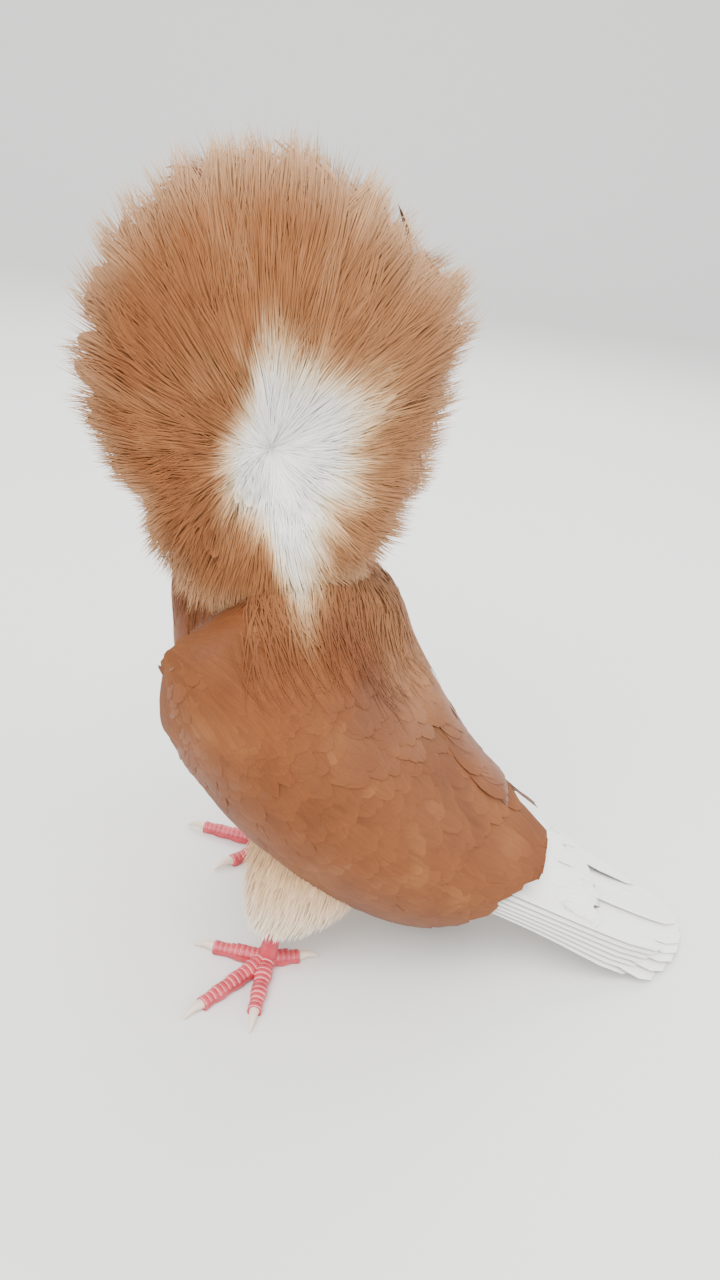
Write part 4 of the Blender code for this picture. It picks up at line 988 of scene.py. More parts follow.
def mantle(rng, rays, length, half, lift, strand, sections=7):
    """Feathers laid along the mantle's lie, from where rays from outside meet its form."""
    hits = [mantle_tree.ray_cast(Vector(start), Vector(way)) for start, way in zip(*rays)]
    at = np.array([hit[0] for hit in hits if hit[0] is not None])
    long = rng.uniform(*length, len(at))[:, None]
    t = shares_along(sections, strand)
    stray = rng.normal(0, 0.16 if strand else 0.06, (len(at), 3))
    places, normals = [], []
    for k in range(sections + 1):
        at, face = on_mantle(at)
        places.append(at)
        normals.append(face)
        way = mantle_flow(at) + stray
        way = unit(way - face * (way * face).sum(-1, keepdims=True))
        if k < sections:
            at = at + way * long * (t[k + 1] - t[k])
    places, up = np.stack(places, 1), np.stack(normals, 1)
    stand = (lift[0] + (lift[1] - lift[0]) * t**0.8)[None] + rng.normal(0, 0.1, (len(at), 1)) * t
    centre = places + up * stand[..., None]
    width = rng.uniform(*half, len(at))[:, None] * feather_width(t[None], strand, 0.6)
    left, right, _ = straight_sides(centre, up, width)
    if not strand:
        (left, left_up), (right, right_up) = on_mantle(left), on_mantle(right)
        left, right = left + left_up * stand[..., None], right + right_up * stand[..., None]
    x, y, z = places[:, 0].T
    return centre, left, right, up, feather_height(width, strand), (z / 300, np.arctan2(y, x)), strand


def neck_rays(rng, count, low, high, turns=((0, 360),)):
    """Rays towards the neck's axis, from all round or some turns: 90 is at the back, -90 at the breast."""
    picked = np.array(turns)[rng.integers(0, len(turns), count)]
    turn = np.radians(rng.uniform(picked[:, 0], picked[:, 1]))
    z = high - (high - low) * rng.uniform(0, 1, count) ** 1.25
    out = np.stack((np.cos(turn), np.sin(turn), 0 * turn), -1)
    return out * 110 + np.stack((0 * z, -8 + 0 * z, z), -1), -out


def wrist_rays(rng, count):
    """Rays from the front and the side on the wing's front edge."""
    side = rng.choice((-1, 1), count)
    lean = np.radians(rng.uniform(20, 85, count))
    way = np.stack((-np.cos(lean) * side, np.sin(lean), 0 * lean), -1)
    x, y, z = rng.uniform(32, 56, count), rng.uniform(-46, -30, count), rng.uniform(70, 152, count)
    return np.stack((x * side, y, z), -1) - way * 70, way


def saddle_rays(rng, count):
    """Rays from above and behind on the back between the wings."""
    along = rng.uniform(0.1, 0.8, count)
    upper = through(WING_STATIONS, along)[:, 0]
    x = rng.uniform(-1, 1, count) * (upper[:, 0] + 10)
    way = np.array((0, -0.6, -0.8))
    return np.stack((x, upper[:, 1], upper[:, 2]), -1) - way * 60, np.broadcast_to(way, (count, 3))


# Throat, nape, barbs and collar: number, shares along the neck, turns round it, length, half width and lift.
NECK_KINDS = (
    (800, (0.12, 0.97), (-2.9, -0.24), (13, 18), (2.6, 3.6), (-1.0, 1.2), VANE),
    (300, (0.12, 0.9), (0.24, 2.9), (13, 18), (3.0, 4.0), (-1.0, 1.2), VANE),
    (1300, (0.3, 0.97), (-3.1, 0.1), (10, 15), (0.25, 0.4), (-0.2, 1.6), BARB, 4),
    (420, (0.84, 1.0), ALL_ROUND, (7, 10), (1.7, 2.4), (-0.3, 1.0), VANE),
)
neck_chance = np.random.default_rng(21)
throat, nape, barbs, collar = grow(neck_chance, neck_surface, TO_LOW_END, NECK_KINDS)
neck_parts = [laid(neck_chance, grown, white_headed) for grown in (collar, throat, nape, barbs)]
feathered("neck_feathers", neck_parts, silky_feather, [])

# Vanes round the neck, on the back and at the wrists, then barbs over them and a fringe that hangs from
# under the hood: how their roots are found, length, half width and lift.
BACK_AND_BREAST, BACK_HALF = ((38, 142), (-130, -50)), ((-15, 195),)
MANTLE_KINDS = (
    (neck_rays, (850, 118, 186), (24, 34), (4.4, 5.8), (-1.2, 0.3), VANE),
    (saddle_rays, (420,), (26, 36), (4.6, 6.0), (-1.2, 0.3), VANE),
    (wrist_rays, (900,), (13, 19), (3.2, 4.4), (-1.0, 0.3), VANE, 5),
    (neck_rays, (1500, 128, 186, BACK_AND_BREAST), (16, 28), (0.26, 0.36), (-0.2, 0.9), BARB, 4),
    (neck_rays, (1300, 148, 172, BACK_HALF), (18, 32), (0.24, 0.34), (1.8, 0.4), BARB, 4),
)
all_grown = []
for rays, where, *shape in MANTLE_KINDS:
    all_grown.append(mantle(neck_chance, rays(neck_chance, *where), *shape))
mantle_parts = [laid(neck_chance, grown, mantle_shade, chance=0.16) for grown in all_grown]
feathered("mantle_feathers", mantle_parts, silky_feather, [])

# Breast, belly and back
# Rounded contour feathers overlap like tiles from the breast back to the rump, rooted in the skin, and the
# belly's are looser.
def breast_shade(points, vary):
    """The wing's colours above, peach below, white at the rump."""
    x, y, z = np.moveaxis(points, -1, 0)
    peach = np.clip((104 - z) / 40, 0, 1) * np.clip((52 - y) / 14, 0, 1)
    pale = np.maximum(peach, np.clip((y - 78) / 8, 0, 1))[..., None]
    return mantle_shade(points, vary) * (1 - pale) + plumage(points, vary) * pale


UPPER_SIDE, UNDERSIDE = (0.0, math.pi), (math.pi, 2 * math.pi)
BELLY = (1.12 * math.pi, 1.88 * math.pi)
# Breast, back and belly, as for the neck.
BODY_KINDS = (
    (2500, (0.0, 0.96), UNDERSIDE, (17, 24), (4.2, 5.8), (-1.2, 0.7), VANE),
    (380, (0.02, 0.98), UPPER_SIDE, (19, 25), (4.4, 6.0), (-1.2, 1.2), VANE),
    (1500, (0.42, 0.98), BELLY, (12, 20), (0.3, 0.5), (-0.5, 2.6), BARB, 5),
)
body_chance = np.random.default_rng(22)
breast, back, belly = grow(body_chance, body_surface, TO_HIGH_END, BODY_KINDS)
body_parts = [laid(body_chance, grown, breast_shade, 0.05, 0.2) for grown in (breast, back)]
body_parts.append(laid(body_chance, belly, breast_shade))
feathered("body_feathers", body_parts, sleek_feather, [])

# Thighs
# Loose fluff like down hides the thigh down to the scaled leg, white at its lower edge. Short vanes lie
# under it on the skin, and single barbs curl away from them.
FLUFF_CURL = 1.6
THIGH_KINDS = (
    (450, (0.54, 0.98), ALL_ROUND, (10, 15), (2.2, 3.4), (-1.0, 1.0), VANE),
    (2200, (0.5, 0.98), ALL_ROUND, (9, 16), (0.25, 0.42), (-0.6, 2.2), BARB, 5, FLUFF_CURL),
)
for side_name, side in SIDES:
    fluff_chance = np.random.default_rng(30 + side)
    all_grown = grow(fluff_chance, thigh_column(side), TO_LOW_END, THIGH_KINDS)
    fluff = [laid(fluff_chance, grown) for grown in all_grown]
    feathered(f"thigh_{side_name}_fluff", fluff, soft_down, [f"thigh_{side_name}"])

# Folded wings
# Small coverts lie like scales on the shoulder, then longer ones in rows, then the secondaries, each tier
# over the roots of the next. The closed vanes lie flat and smooth, so that only their edges and tips show.
WING_VANE_SECTIONS, WING_VANE_ROUND = 9, 0.66
# Tiers: along from and to, across from and to, rows, feathers in a row, length, half width, lift of root
# and tip, and how far the roots sweep back towards the upper edge.
WING_TIERS = (
    (0.44, 0.58, 0.03, 0.97, 4, 16, (58, 66), (8.0, 9.0), (-1.8, -0.3), 0.22),
    (0.34, 0.5, 0.02, 0.98, 5, 17, (40, 48), (6.4, 7.4), (-1.4, -0.2), 0.16),
    (0.14, 0.42, 0.01, 0.99, 9, 21, (28, 34), (5.4, 6.4), (-1.3, -0.1), 0.08),
    (0.0, 0.24, 0.01, 0.99, 10, 24, (20, 25), (4.6, 5.6), (-1.2, 0.1), 0.04),
)


def tier_roots(rng, low, high, upper, lower, rows, count, sweep):
    """Roots of a tier in staggered rows, as shares along and across the wing."""
    along, across = [], []
    for row in range(rows):
        c = upper + (lower - upper) * (np.arange(count) + 0.5 * (row % 2)) / (count - 0.5)
        c = np.clip(c + rng.normal(0, 0.006, count), 0.01, 0.99)
        start = low + (high - low) * (row + 0.5) / rows + rng.normal(0, 0.008, count)
        along.append(start + sweep * (1 - c) ** 2)
        across.append(c)
    return np.concatenate(along), np.concatenate(across)


for side_name, side in SIDES:
    wing_chance = np.random.default_rng(41)
    surface = wing_sheet(side)
    tiers = []
    for *field, length, half, lift, sweep in WING_TIERS:
        spots = tier_roots(wing_chance, *field, sweep)
        shape = (length, half, lift, VANE, WING_VANE_SECTIONS, 0.0, WING_VANE_ROUND)
        grown = contour(wing_chance, surface, spots, TO_HIGH_END, *shape)
        on_map = np.stack(spots, -1) * 0.98 + 0.01
        tiers.append(laid(wing_chance, grown, wing_shade, 0.08, 0.3, on_map))
    solid = f"wing_{side_name}"
    feathered(f"{solid}_feathers", tiers, sleek_feather, [solid])

# White flights
# The long primaries come out from under the wing and lie along the tail, each a narrow stiff vane on a pale
# shaft. They are rooted in the flesh of the wing's end and hide one another but for an edge.
PRIMARY_COUNT, PRIMARY_HALF = 7, 7.0
PRIMARY_TIPS = np.array(((21.0, 169, 5.6), (33.5, 151, 3.0)))
# Where along the wing a primary starts and is half way, and how deep under the wing's face it lies there.
PRIMARY_UNDER_WING = ((0.6, 9.0), (0.9, 8.5))
QUILL_RISE = 0.3


def quills(rng, start, middle, end, face, half, sections=14):
    """Long vanes along three-point curves."""
    count = len(start)
    t = np.append(np.linspace(0, 0.97, sections), 1)[None, :, None]
    control = middle * 2 - (start + end) / 2
    path = start[:, None] * (1 - t) ** 2 + control[:, None] * 2 * t * (1 - t) + end[:, None] * t**2
    share = t[..., 0]
    end_round = np.sqrt(1 - np.clip((share - 0.84) / 0.16, 0, 0.985) ** 2)
    width = np.full((count, 1), half) * (0.6 + 0.4 * np.minimum(1, share * 2)) * end_round
    shade = np.broadcast_to(linear(WHITE), path.shape) * (1 - 0.04 * rng.uniform(0, 1, (count, 1, 1)))
    left, right, up = straight_sides(path, np.broadcast_to(face[:, None], path.shape), width)
    roots = np.stack((np.linspace(0.1, 0.9, count), np.full(count, 0.5)), -1)
    seeds = rng.uniform(0, 50, count)
    return feathers(path, left, right, up, QUILL_RISE + 0 * width, roots, shade, seeds, VANE, 0.1)


for side_name, side in SIDES:
    flight_chance = np.random.default_rng(51)
    surface = wing_sheet(1)
    f = np.linspace(0, 1, PRIMARY_COUNT)
    across = 0.4 + 0.38 * f
    start, middle = (
        surface[0](np.full(PRIMARY_COUNT, along), across)
        - facing(surface, np.full(PRIMARY_COUNT, along), across) * depth
        for along, depth in PRIMARY_UNDER_WING
    )
    end = PRIMARY_TIPS[0] + (PRIMARY_TIPS[1] - PRIMARY_TIPS[0]) * f[:, None]
    face = unit(facing(surface, np.full(PRIMARY_COUNT, 0.8), across) * 0.15 + np.array((0, 0.2, 1.0)))
    mirror = np.array((side, 1, 1))
    made = quills(flight_chance, start * mirror, middle * mirror, end * mirror, face * mirror, PRIMARY_HALF)
    solid = f"primaries_{side_name}"
    feathered(f"{solid}_feathers", [made], flight_feather, [solid])

# Tail
# Twelve broad feathers in a narrow fan, the middle pair on top, with rounded ends on the floor. White
# coverts lie over their roots on the rump.
TAIL_COUNT, TAIL_HALF = 12, 10.5
# Half spread, y and z of the feathers' roots and of their tips. The outer ones end this much further
# forward, and the middle ones lie this much higher.
TAIL_ROOTS, TAIL_TIPS = (11, 92.0, 41.5), (31, 183, 0.6)
OUTER_SHORTER, MIDDLE_HIGHER = 20, 2.4
COVERT_STATIONS = np.array(
    ((84, 47, 27, 14, 14), (98, 40, 27, 13, 10), (114, 31, 28, 11, 7), (134, 22, 29, 6, 5)), float
)
COVERT_KINDS = ((420, (0.0, 0.74), ALL_ROUND, (16, 22), (4.0, 5.2), (-1.0, 0.8), VANE),)
tail_chance = np.random.default_rng(61)
f = (np.arange(TAIL_COUNT) - (TAIL_COUNT - 1) / 2) / ((TAIL_COUNT - 1) / 2)
stack = MIDDLE_HIGHER * (1 - np.abs(f)) + 0.25 * (np.arange(TAIL_COUNT) % 2)
tail_start = np.stack(
    (TAIL_ROOTS[0] * f, np.full(TAIL_COUNT, TAIL_ROOTS[1]), TAIL_ROOTS[2] + stack * 0.6), -1
)
tail_end = np.stack(
    (TAIL_TIPS[0] * f, TAIL_TIPS[1] - OUTER_SHORTER * f * f, TAIL_TIPS[2] + stack), -1
)
tail_middle = (tail_start + tail_end) / 2 - np.array((0, 0, 3.0))
tail_face = unit(np.stack((0.1 * np.sign(f), np.full(TAIL_COUNT, 0.4), np.ones(TAIL_COUNT)), -1))
tail_quills = quills(tail_chance, tail_start, tail_middle, tail_end, tail_face, TAIL_HALF)
coverts = grow(tail_chance, column(COVERT_STATIONS), TO_HIGH_END, COVERT_KINDS)
tail_parts = [tail_quills] + [laid(tail_chance, grown) for grown in coverts]
feathered("tail_feathers", tail_parts, flight_feather, ["tail"])

# Small feathers of the head
# Very short white feathers lie from the bill back over the crown and cheeks, close on the skin of the
# skull, and leave the lids and the bill bare.
HEAD_FEATHERS = 1900
BARE_ROUND_EYE, CROWN_HALF = 6.6, 6
head_chance = np.random.default_rng(71)
head_surface = column(HEAD_STATIONS)
spots = np.stack([head_chance.uniform(*reach, HEAD_FEATHERS) for reach in ((0.03, 0.95), ALL_ROUND)])
head_at = head_surface[0](*spots)
feathered_skin = np.hypot(head_at[:, 1] - EYE_CENTRE[1], head_at[:, 2] - EYE_CENTRE[2]) > BARE_ROUND_EYE
feathered_skin |= np.abs(head_at[:, 0]) < CROWN_HALF
spots = tuple(spots[:, feathered_skin])
head_shape = ((4.5, 7), (1.1, 1.7), (-0.25, 0.4), VANE, 4)
head_grown = contour(head_chance, head_surface, spots, TO_HIGH_END, *head_shape)
head_parts = [laid(head_chance, head_grown, white_headed)]
feathered("head_feathers", head_parts, soft_down, [])

# Eyes
# A pearl-coloured iris with a dark pupil behind a clear wet cornea: a whole ball, set in the skull behind
# the lids.
IRIS_RADIUS = 4.1
EYE_CLEARANCE = 0.1
PUPIL_BLACK = (0.004, 0.003, 0.003, 1)
IRIS_CLEAR, IRIS_RIM, IRIS_EDGE = (1, 1, 1, 1), (0.95, 0.95, 0.95, 1), (0.25, 0.16, 0.12, 1)
IRIS_GREY, IRIS_PEARL = "B9AFA6", "EFE8DE"
# Bands by distance from the pupil's middle, as shares of the iris radius.
IRIS_BANDS = ((0.40, PUPIL_BLACK), (0.44, IRIS_CLEAR), (0.86, IRIS_RIM), (0.98, IRIS_EDGE))
SPECKLES_PER_METRE = 1400.0


def plain_finish(name, colour, roughness, **sockets):
    """A material of one colour; sockets are further constant inputs of the shader."""
    made = bpy.data.materials.new(name)
    made.use_nodes = True
    shader = made.node_tree.nodes["Principled BSDF"]
    shader.inputs["Base Color"].default_value = (*linear(colour), 1)
    shader.inputs["Roughness"].default_value = roughness
    for key, value in sockets.items():
        shader.inputs[key].default_value = value
    return made


def eye_finish():
    """Wet eye: rings of pupil, dark rim and speckled pearl iris, by distance from the pupil's middle."""
    made = plain_finish("wet_eye", "D8CFC4", 0.08, IOR=1.38)
    tree = made.node_tree
    shader = tree.nodes["Principled BSDF"]
    rings = node(tree, "ShaderNodeAttribute", {"attribute_name": "iris"})
    speckle = node(tree, "ShaderNodeTexNoise", {}, {"Scale": SPECKLES_PER_METRE, "Detail": 3.0})
    place = node(tree, "ShaderNodeTexCoord")
    tree.links.new(place.outputs["Object"], speckle.inputs["Vector"])
    iris = node(tree, "ShaderNodeMix", {"data_type": "RGBA"}, {"Factor": speckle.outputs["Fac"]})
    iris.inputs["A"].default_value = (*linear(IRIS_GREY), 1)
    iris.inputs["B"].default_value = (*linear(IRIS_PEARL), 1)
    bands = node(tree, "ShaderNodeValToRGB", {}, {"Fac": rings.outputs["Fac"]})
    stops = bands.color_ramp.elements
    for number, (position, shade) in enumerate(IRIS_BANDS):
        stop = stops[number] if number < len(stops) else stops.new(position)
        stop.position = position
        stop.color = shade
    mixed = node(tree, "ShaderNodeMix", {"data_type": "RGBA", "blend_type": "MULTIPLY"}, {"Factor": 1.0})
    tree.links.new(iris.outputs["Result"], mixed.inputs["A"])
    tree.links.new(bands.outputs["Color"], mixed.inputs["B"])
    tree.links.new(mixed.outputs["Result"], shader.inputs["Base Color"])
    # The cornea's tear film gives the sharp glint.
    shader.inputs["Coat Weight"].default_value = 1.0
    shader.inputs["Coat Roughness"].default_value = 0.02
    return made


def ball_rows(centre, radius, side, around=32, rings=20):
    """Rings round the axis that points sideways, from the pupil's middle inwards."""
    rows = []
    turns = around_turns(around)
    for lean in np.linspace(0.04, math.pi - 0.04, rings):
        x = np.full(around, centre[0] * side + radius * math.cos(lean) * side)
        y = centre[1] + radius * math.sin(lean) * np.cos(turns)
        z = centre[2] + radius * math.sin(lean) * np.sin(turns)
        rows.append(np.stack((x, y, z), -1)[::side])
    return rows


def finish_piece(piece, finish, nodes):
    """Smooths a piece, turns its faces outwards, gives it its material and ties it to the frame."""
    piece.data.materials.append(finish)
    piece.data.shade_smooth()
    shape = bmesh.new()
    shape.from_mesh(piece.data)
    bmesh.ops.recalc_face_normals(shape, faces=shape.faces)
    shape.to_mesh(piece.data)
    shape.free()
    tie(piece, nodes)


wet_eye = eye_finish()
for side_name, side in SIDES:
    ball = ball_rows(EYE_CENTRE, EYE_RADIUS - EYE_CLEARANCE, side)
    eye = as_object(f"eye_{side_name}_ball", *closed_form(ball))
    at = bird_points(eye.data)
    away = np.hypot(at[:, 1] - EYE_CENTRE[1], at[:, 2] - EYE_CENTRE[2]) / IRIS_RADIUS
    away = np.where(at[:, 0] * side < EYE_CENTRE[0], 1.0, away)
    layer = eye.data.attributes.new("iris", "FLOAT", "POINT")
    layer.data.foreach_set("value", away.astype(np.float32))
    finish_piece(eye, wet_eye, [f"eye_{side_name}"])

# Lids
# The two lids of each eye meet in one bare, finely beaded ring of pale flesh-coloured skin, a little taller
# than it is long, that grips the ball.
LID_RADIUS, LID_STAND = 4.45, 3.5
# Half width of the fold across the eye, and half its thickness.
LID_FOLD = (1.25, 0.8)
LID_BEADS, LID_BEAD_DEPTH = 26, 0.1
LID_TURNS, LID_SECTION = 72, 14
# Bare skin: matt with a little warmth, the only flesh colour of the face.
lid_skin = plain_finish("bare_lid_skin", "E9C9BC", 0.5)


def lid_rows(side):
    """Rings of the fold, one for each turn round the eye."""
    outwards = np.array((side, 0, 0))
    lean = around_turns(LID_SECTION)
    rows = []
    for turn in around_turns(LID_TURNS):
        narrow = 0.86 - 0.05 * math.cos(2 * turn)
        bead = 1 + LID_BEAD_DEPTH * math.sin(turn * LID_BEADS)
        way = np.array((0, math.cos(turn), math.sin(turn) * narrow))
        hub = EYE_CENTRE * (side, 1, 1) + way * LID_RADIUS + outwards * LID_STAND
        across, out = np.cos(lean)[:, None] * LID_FOLD[0], np.sin(lean)[:, None] * LID_FOLD[1]
        rows.append(hub + (way * across + outwards * out) * bead)
    return rows


for side_name, side in SIDES:
    faces = []
    for k in range(LID_TURNS):
        near, far = k * LID_SECTION, (k + 1) % LID_TURNS * LID_SECTION
        for i in range(LID_SECTION):
            j = (i + 1) % LID_SECTION
            faces.append((near + i, near + j, far + j, far + i))
    lids = as_object(f"lids_{side_name}", np.concatenate(lid_rows(side)), faces)
    finish_piece(lids, lid_skin, [])

# Bill and cere
# A short, stout, pale horn bill, closed along a clean line, with the chalky white swelling of the cere over
# the nostrils at its root.
BILL_ROOT_Y, BILL_TIP_Y = -47.0, -67.0
# The lower half ends this much short of the upper one's tip, which hooks down over it.
LOWER_SHORT, UPPER_HOOK = 0.9, 1.6
MOUTH_Z, MOUTH_DROP, MOUTH_GAP = 249.0, 1.9, 0.12
BILL_HALF_WIDTH = 4.3
UPPER_HEIGHT, LOWER_HEIGHT = 5.4, 3.9
CERE_BULB = np.array((1.7, -53.2, 253.6))
CERE_HALF = (2.4, 3.6, 2.2)
CERE_FALL = 0.5
# Horn: smooth and faintly waxy, so that it takes a soft light along its ridge.
horn = plain_finish("pale_horn", "E3CDB8", 0.32)
# Powdery wattle: quite matt, nearly as white as the feathers round it.
chalk = plain_finish("chalky_cere", "EDE6DE", 0.85)


def bill_rows(way, height, points=12):
    """Rings of the upper half, way 1, or the lower, way -1: an arch closed by a flat face at the mouth."""
    rows = []
    turns = np.linspace(0, math.pi, points)
    for share in np.linspace(0, 1, 22):
        end = BILL_TIP_Y + (LOWER_SHORT if way < 0 else 0)
        y = np.full(points, BILL_ROOT_Y + (end - BILL_ROOT_Y) * share)
        half = BILL_HALF_WIDTH * math.sqrt(max(1 - share**1.5 * 0.985, 0.01))
        mouth = MOUTH_Z - MOUTH_DROP * share**2 - (UPPER_HOOK * share**6 if way > 0 else 0)
        rise = MOUTH_GAP + height * half / BILL_HALF_WIDTH * np.sin(turns) ** 0.9
        arch = np.stack((half * np.cos(turns), y, mouth + way * rise), -1)
        x = np.linspace(-1, 1, points + 2)[1:-1] * half
        rows.append(np.concatenate((arch, np.stack((x, y, np.full(points, mouth + way * MOUTH_GAP)), -1))))
    return rows


def cere_rows(side, around=28):
    """Rings of one half of the cere, a bulb with fine wrinkles."""
    turns = around_turns(around)
    rows = []
    for lean in np.linspace(0.05, math.pi - 0.05, 16):
        radius = math.sin(lean) * (1 + 0.12 * math.cos(lean))
        wrinkle = 1 + 0.04 * np.sin(turns * 7 + lean * 5)
        x = CERE_BULB[0] * side + CERE_HALF[0] * radius * np.cos(turns) * wrinkle
        y = np.full(around, CERE_BULB[1] - CERE_HALF[1] * math.cos(lean))
        z = CERE_BULB[2] - CERE_FALL * math.cos(lean) + CERE_HALF[2] * radius * np.sin(turns) * wrinkle
        rows.append(np.stack((x, y, z), -1))
    return rows


for name, rows in (("bill_upper", bill_rows(1, UPPER_HEIGHT)), ("bill_lower", bill_rows(-1, LOWER_HEIGHT))):
    finish_piece(as_object(f"{name}_horn", *closed_form(rows)), horn, [name])
cere = as_object("cere_bulbs", *joined([cere_rows(1), cere_rows(-1)]))
finish_piece(cere, chalk, ["cere"])

# Legs and feet
# Red scaled skin: broad scutes ring the front of the leg and the top of each toe, with paler edges, over
# fine granular skin. Each toe ends in a curved horn claw.
ANKLE_X, ANKLE_Z = 37.0, 3.2
LEG_TOP = np.array((36.4, 3.0, 28.0))
# Nothing of the foot reaches under this level, so that it stands on small flats.
FLOOR_LEVEL = 0.05
# Each toe's heading, 0 ahead and 90 outwards, and its length.
TOES = {
    "left": ((-16, 22), (46, 34), (82, 27), (195, 13)),
    "right": ((-35, 22), (20, 34), (58, 27), (200, 13)),
}
TOE_RADIUS, TOE_FALL = (3.9, 2.7), 1.3
LEG_PLATES, LEG_PLATE_LENGTH = 8, 3.0
TOE_PLATE_SPACING = 2.5
CLAW_LENGTH, CLAW_IN_TOE = 9.0, 1.2
CLAW_ARCH, CLAW_DROP = 1.1, 1.35
SCALE_DEEP, SCALE_RED, SCALE_PALE = "A82C3A", "C8444F", "F2B4AE"
# Granules of the skin between the plates are about 0.7 mm across.
GRANULES_PER_METRE = 1400.0
# Sections of a plate: share of its length, and share of its height over the limb.
PLATE_PROFILE = ((-0.5, -0.25), (-0.35, 0.16), (0.0, 0.3), (0.35, 0.5), (0.47, 0.4), (0.5, -0.2))
PLATE_HALF_TURN, PLATE_ACROSS = 72, 13
# How pale each section of a plate is, its far edge most, and then its two closing points.
PLATE_PALE = (0.1, 0.0, 0.0, 0.25, 1.0, 1.0)
PLATE_TONES = [tone for tone in PLATE_PALE for _ in range(2 * PLATE_ACROSS)] + [0.0, 1.0]


def scale_finish():
    """Scaled skin of a bird's leg: red-pink, paler and drier at the plates' edges, slightly glossy."""
    made = plain_finish("scaled_leg_skin", "CE5563", 0.42)
    tree = made.node_tree
    shader = tree.nodes["Principled BSDF"]
    tint = node(tree, "ShaderNodeAttribute", {"attribute_name": "tint"})
    place = node(tree, "ShaderNodeTexCoord")
    granules = {"Vector": place.outputs["Object"], "Scale": GRANULES_PER_METRE}
    cells = node(tree, "ShaderNodeTexVoronoi", {"feature": "DISTANCE_TO_EDGE"}, granules)
    # Darker at a granule's middle than at its edge; socket 0 is what is measured or scaled.
    levels = {0: cells.outputs["Distance"], 1: 0.0, 2: 0.25, 3: 1.12, 4: 0.96}
    level = node(tree, "ShaderNodeMapRange", {}, levels)
    scaled = {0: tint.outputs["Color"], "Scale": level.outputs[0]}
    shade = node(tree, "ShaderNodeVectorMath", {"operation": "SCALE"}, scaled)
    relief = {"Strength": 0.35, "Distance": 0.0003, "Height": cells.outputs["Distance"]}
    raised = node(tree, "ShaderNodeBump", {}, relief)
    tree.links.new(shade.outputs[0], shader.inputs["Base Color"])
    tree.links.new(raised.outputs[0], shader.inputs["Normal"])
    shader.inputs["Subsurface Weight"].default_value = 0.08
    shader.inputs["Subsurface Radius"].default_value = (0.002, 0.0008, 0.0006)
    return made


def tube_rows(path, radii, around, flat=None):
    """Rings along a path; flat is the level under which nothing reaches."""
    path = np.asarray(path, float)
    turns = around_turns(around)[:, None]
    rows = []
    for k, (point, radius) in enumerate(zip(path, radii)):
        ahead = unit(path[min(k + 1, len(path) - 1)] - path[max(k - 1, 0)])
        across = np.cross(ahead, (0, 0, 1.0))
        if np.linalg.norm(across) < 0.2:
            across = np.array((1.0, 0, 0)) - ahead * ahead[0]
        across = unit(across)
        ring = point + radius * (across * np.cos(turns) + np.cross(across, ahead) * np.sin(turns))
        if flat is not None:
            ring[:, 2] = np.maximum(ring[:, 2], flat)
        rows.append(ring)
    return rows


def scute_rows(centre, ahead, up, length, radius, height):
    """One plate, bent over the limb, with its far edge raised and rolled."""
    side = np.cross(ahead, up)
    lean = np.radians(np.linspace(-PLATE_HALF_TURN, PLATE_HALF_TURN, PLATE_ACROSS))
    rows = []
    for share, rise in PLATE_PROFILE:
        shrink = 1 - 0.14 * abs(share * 2) ** 3
        out = np.sin(lean * shrink)[:, None] * side + np.cos(lean * shrink)[:, None] * up
        at = centre + ahead * length * share
        top = at + out * (radius + height * rise * np.cos(lean * 0.9)[:, None] ** 0.5)
        rows.append(np.concatenate((top, (at + out * (radius - 0.7))[::-1])))
    return rows


def heading_way(heading, side):
    turn = math.radians(heading)
    return np.array((math.sin(turn) * side, -math.cos(turn), 0))


def leg_forms(side, ankle):
    """The leg, its ball at the ankle, and the plates down its front: each closed form with its tones."""
    top = LEG_TOP * (side, 1, 1)
    shares = np.linspace(0, 1, 12)
    leg = [top + (ankle + (0, 0, 1.2) - top) * f for f in shares]
    ball = [ankle + (0, 0, 3.2), ankle + (0, 0, 1.5), ankle, ankle - (0, 0, 2.9)]
    forms = [(tube_rows(leg, 3.1 + 0.9 * shares**4, 24), None)]
    forms.append((tube_rows(ball, (2.5, 4.4, 4.8, 3.6), 24, FLOOR_LEVEL), None))
    down = unit(ankle - top)
    front = np.array((0.12 * side, -1, 0))
    forward = unit(front - down * down.dot(front))
    for n in range(LEG_PLATES):
        centre = top + (ankle - top) * ((n + 0.6) / (LEG_PLATES + 0.4))
        forms.append((scute_rows(centre, down, forward, LEG_PLATE_LENGTH, 3.15, 0.75), PLATE_TONES))
    return forms


def toe_forms(side, ankle, heading, length):
    """A toe with a soft swelling at each joint, and the plates along its top."""
    way = heading_way(heading, side)
    shares = np.linspace(0, 1, 16)
    swell = 1 + 0.09 * np.cos(shares * (2 * math.pi * max(2, round(length / 9))))
    radii = (TOE_RADIUS[0] + (TOE_RADIUS[1] - TOE_RADIUS[0]) * shares) * swell * 0.95
    fall = np.array((0, 0, TOE_FALL))
    toe = [ankle + way * (length * f) - fall * f for f in shares]
    forms = [(tube_rows(toe, radii, 20, FLOOR_LEVEL), None)]
    plates = max(4, round(length / TOE_PLATE_SPACING))
    ahead = unit(toe[-1] - toe[0])
    up = unit(np.array((0, 0, 1.0)) - ahead * ahead[2])
    for n in range(plates):
        f = (n + 1.2) / (plates + 0.9)
        centre = ankle + way * (length * f) - fall * f
        radius = float(np.interp(f, shares, radii))
        forms.append((scute_rows(centre, ahead, up, length / plates * 1.12, radius, 0.7), PLATE_TONES))
    return forms


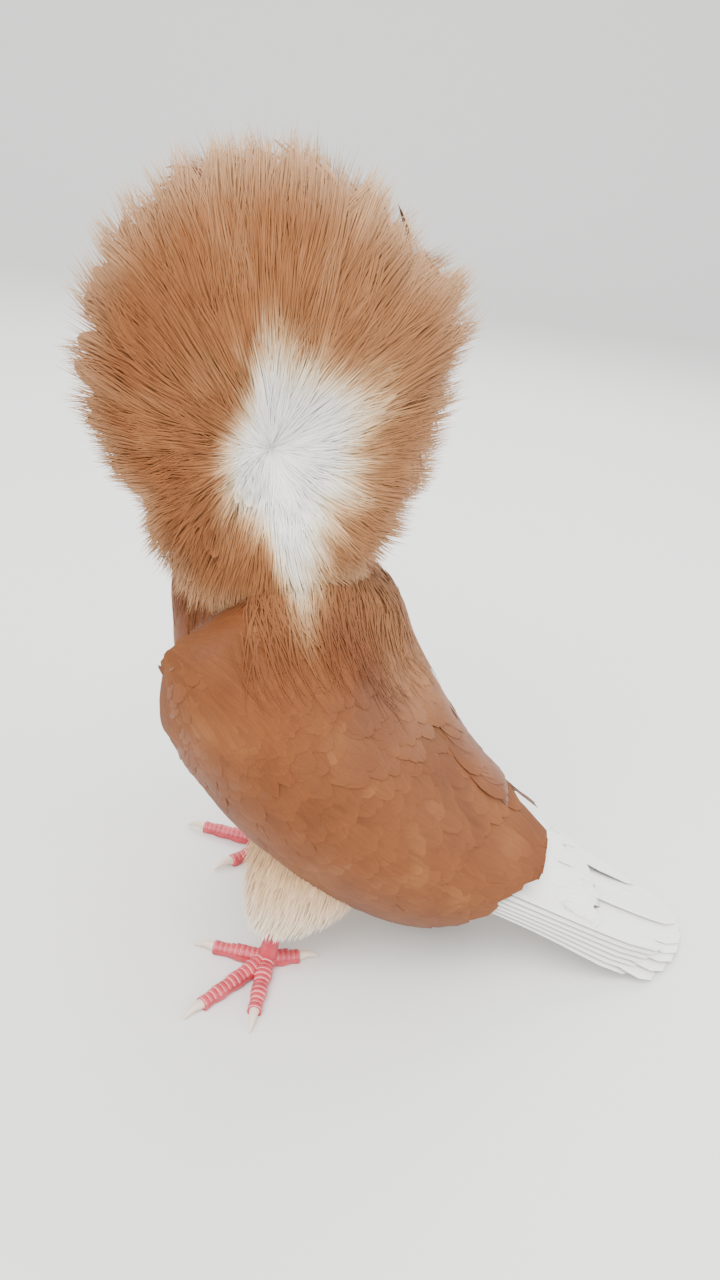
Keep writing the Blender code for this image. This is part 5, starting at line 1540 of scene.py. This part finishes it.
def claw_rows(side, ankle, heading, length):
    """A claw that arches a little and comes down to a point."""
    way = heading_way(heading, side)
    root = ankle + way * (length - CLAW_IN_TOE) - np.array((0, 0, TOE_FALL - 0.2))
    shares = np.linspace(0, 1, 14)
    rise = [CLAW_ARCH * math.sin(math.pi * min(1, f * 1.05)) - CLAW_DROP * f**2 for f in shares]
    length = CLAW_LENGTH + CLAW_IN_TOE
    path = [root + way * length * f + np.array((0, 0, z)) for f, z in zip(shares, rise)]
    return tube_rows(path, 1.95 * (1 - shares) ** 0.62 + 0.12, 16, FLOOR_LEVEL)


scaled_skin = scale_finish()
for side_name, side in SIDES:
    ankle = np.array((ANKLE_X * side, 0, ANKLE_Z))
    forms = leg_forms(side, ankle)
    for heading, length in TOES[side_name]:
        forms += toe_forms(side, ankle, heading, length)
    foot = as_object(f"foot_{side_name}_scales", *joined([rows for rows, tones in forms]))
    paleness = np.concatenate([tones or [0.0] * (np.asarray(rows).size // 3 + 2) for rows, tones in forms])
    red = ramp(wave(bird_points(foot.data), 9, 0.3) * 0.5 + 0.5, ((0, SCALE_DEEP), (1, SCALE_RED)))
    paint(foot.data, red + (linear(SCALE_PALE) - red) * (paleness[:, None] * 0.5))
    finish_piece(foot, scaled_skin, [f"foot_{side_name}"])
    for n, (heading, length) in enumerate(TOES[side_name], 1):
        rows = claw_rows(side, ankle, heading, length)
        claw = as_object(f"claw_{side_name}_{n}_horn", *closed_form(rows))
        finish_piece(claw, horn, [f"claw_{side_name}_{n}"])

# Studio
# A pale floor that turns up into a wall behind the bird, and soft light from large panels. None is part of
# the bird.
FLOOR_HALF, WALL_HEIGHT, CURVE = 3.0, 3.0, 0.8
profile = [(-FLOOR_HALF, 0.0)]
for turn in np.linspace(0, math.pi / 2, 16):
    profile.append((FLOOR_HALF - CURVE + CURVE * math.sin(turn), CURVE - CURVE * math.cos(turn)))
profile.append((FLOOR_HALF, WALL_HEIGHT))
floor_sides = (-FLOOR_HALF * 1.5, FLOOR_HALF * 1.5)
stage_points = [(-far, across, high) for across in floor_sides for far, high in profile]
n = len(profile)
stage_mesh = bpy.data.meshes.new("studio_floor")
stage_mesh.from_pydata(stage_points, [], [(i, i + 1, n + i + 1, n + i) for i in range(n - 1)])
stage_mesh.shade_smooth()
# Matt background paper, a little darker than the white feathers, so that these stand out.
stage_mesh.materials.append(plain_finish("pale_studio_paper", "E6E4E0", 0.9))
floor = bpy.data.objects.new("studio_floor", stage_mesh)
bpy.context.scene.collection.objects.link(floor)

SKY_COLOUR, SKY_STRENGTH = "E8ECF0", 1.8
# Panels: name, place and width in metres, and power in watts.
PANELS = (
    ("key", (0.9, -0.5, 1.5), 1.2, 46),
    ("fill", (0.6, 1.3, 0.9), 1.4, 16),
    ("back", (-1.1, 0.2, 1.3), 1.2, 22),
)
LIT_POINT = Vector((0, 0, 0.12))
world = bpy.data.worlds.new("studio")
bpy.context.scene.world = world
world.use_nodes = True
sky = world.node_tree.nodes["Background"]
sky.inputs["Color"].default_value = (*linear(SKY_COLOUR), 1)
sky.inputs["Strength"].default_value = SKY_STRENGTH
for panel_name, panel_place, width, power in PANELS:
    light = bpy.data.lights.new(panel_name, "AREA")
    light.size = width
    light.energy = power
    lamp = bpy.data.objects.new(panel_name, light)
    lamp.location = panel_place
    lamp.rotation_euler = (LIT_POINT - Vector(panel_place)).to_track_quat("-Z", "Y").to_euler()
    bpy.context.scene.collection.objects.link(lamp)
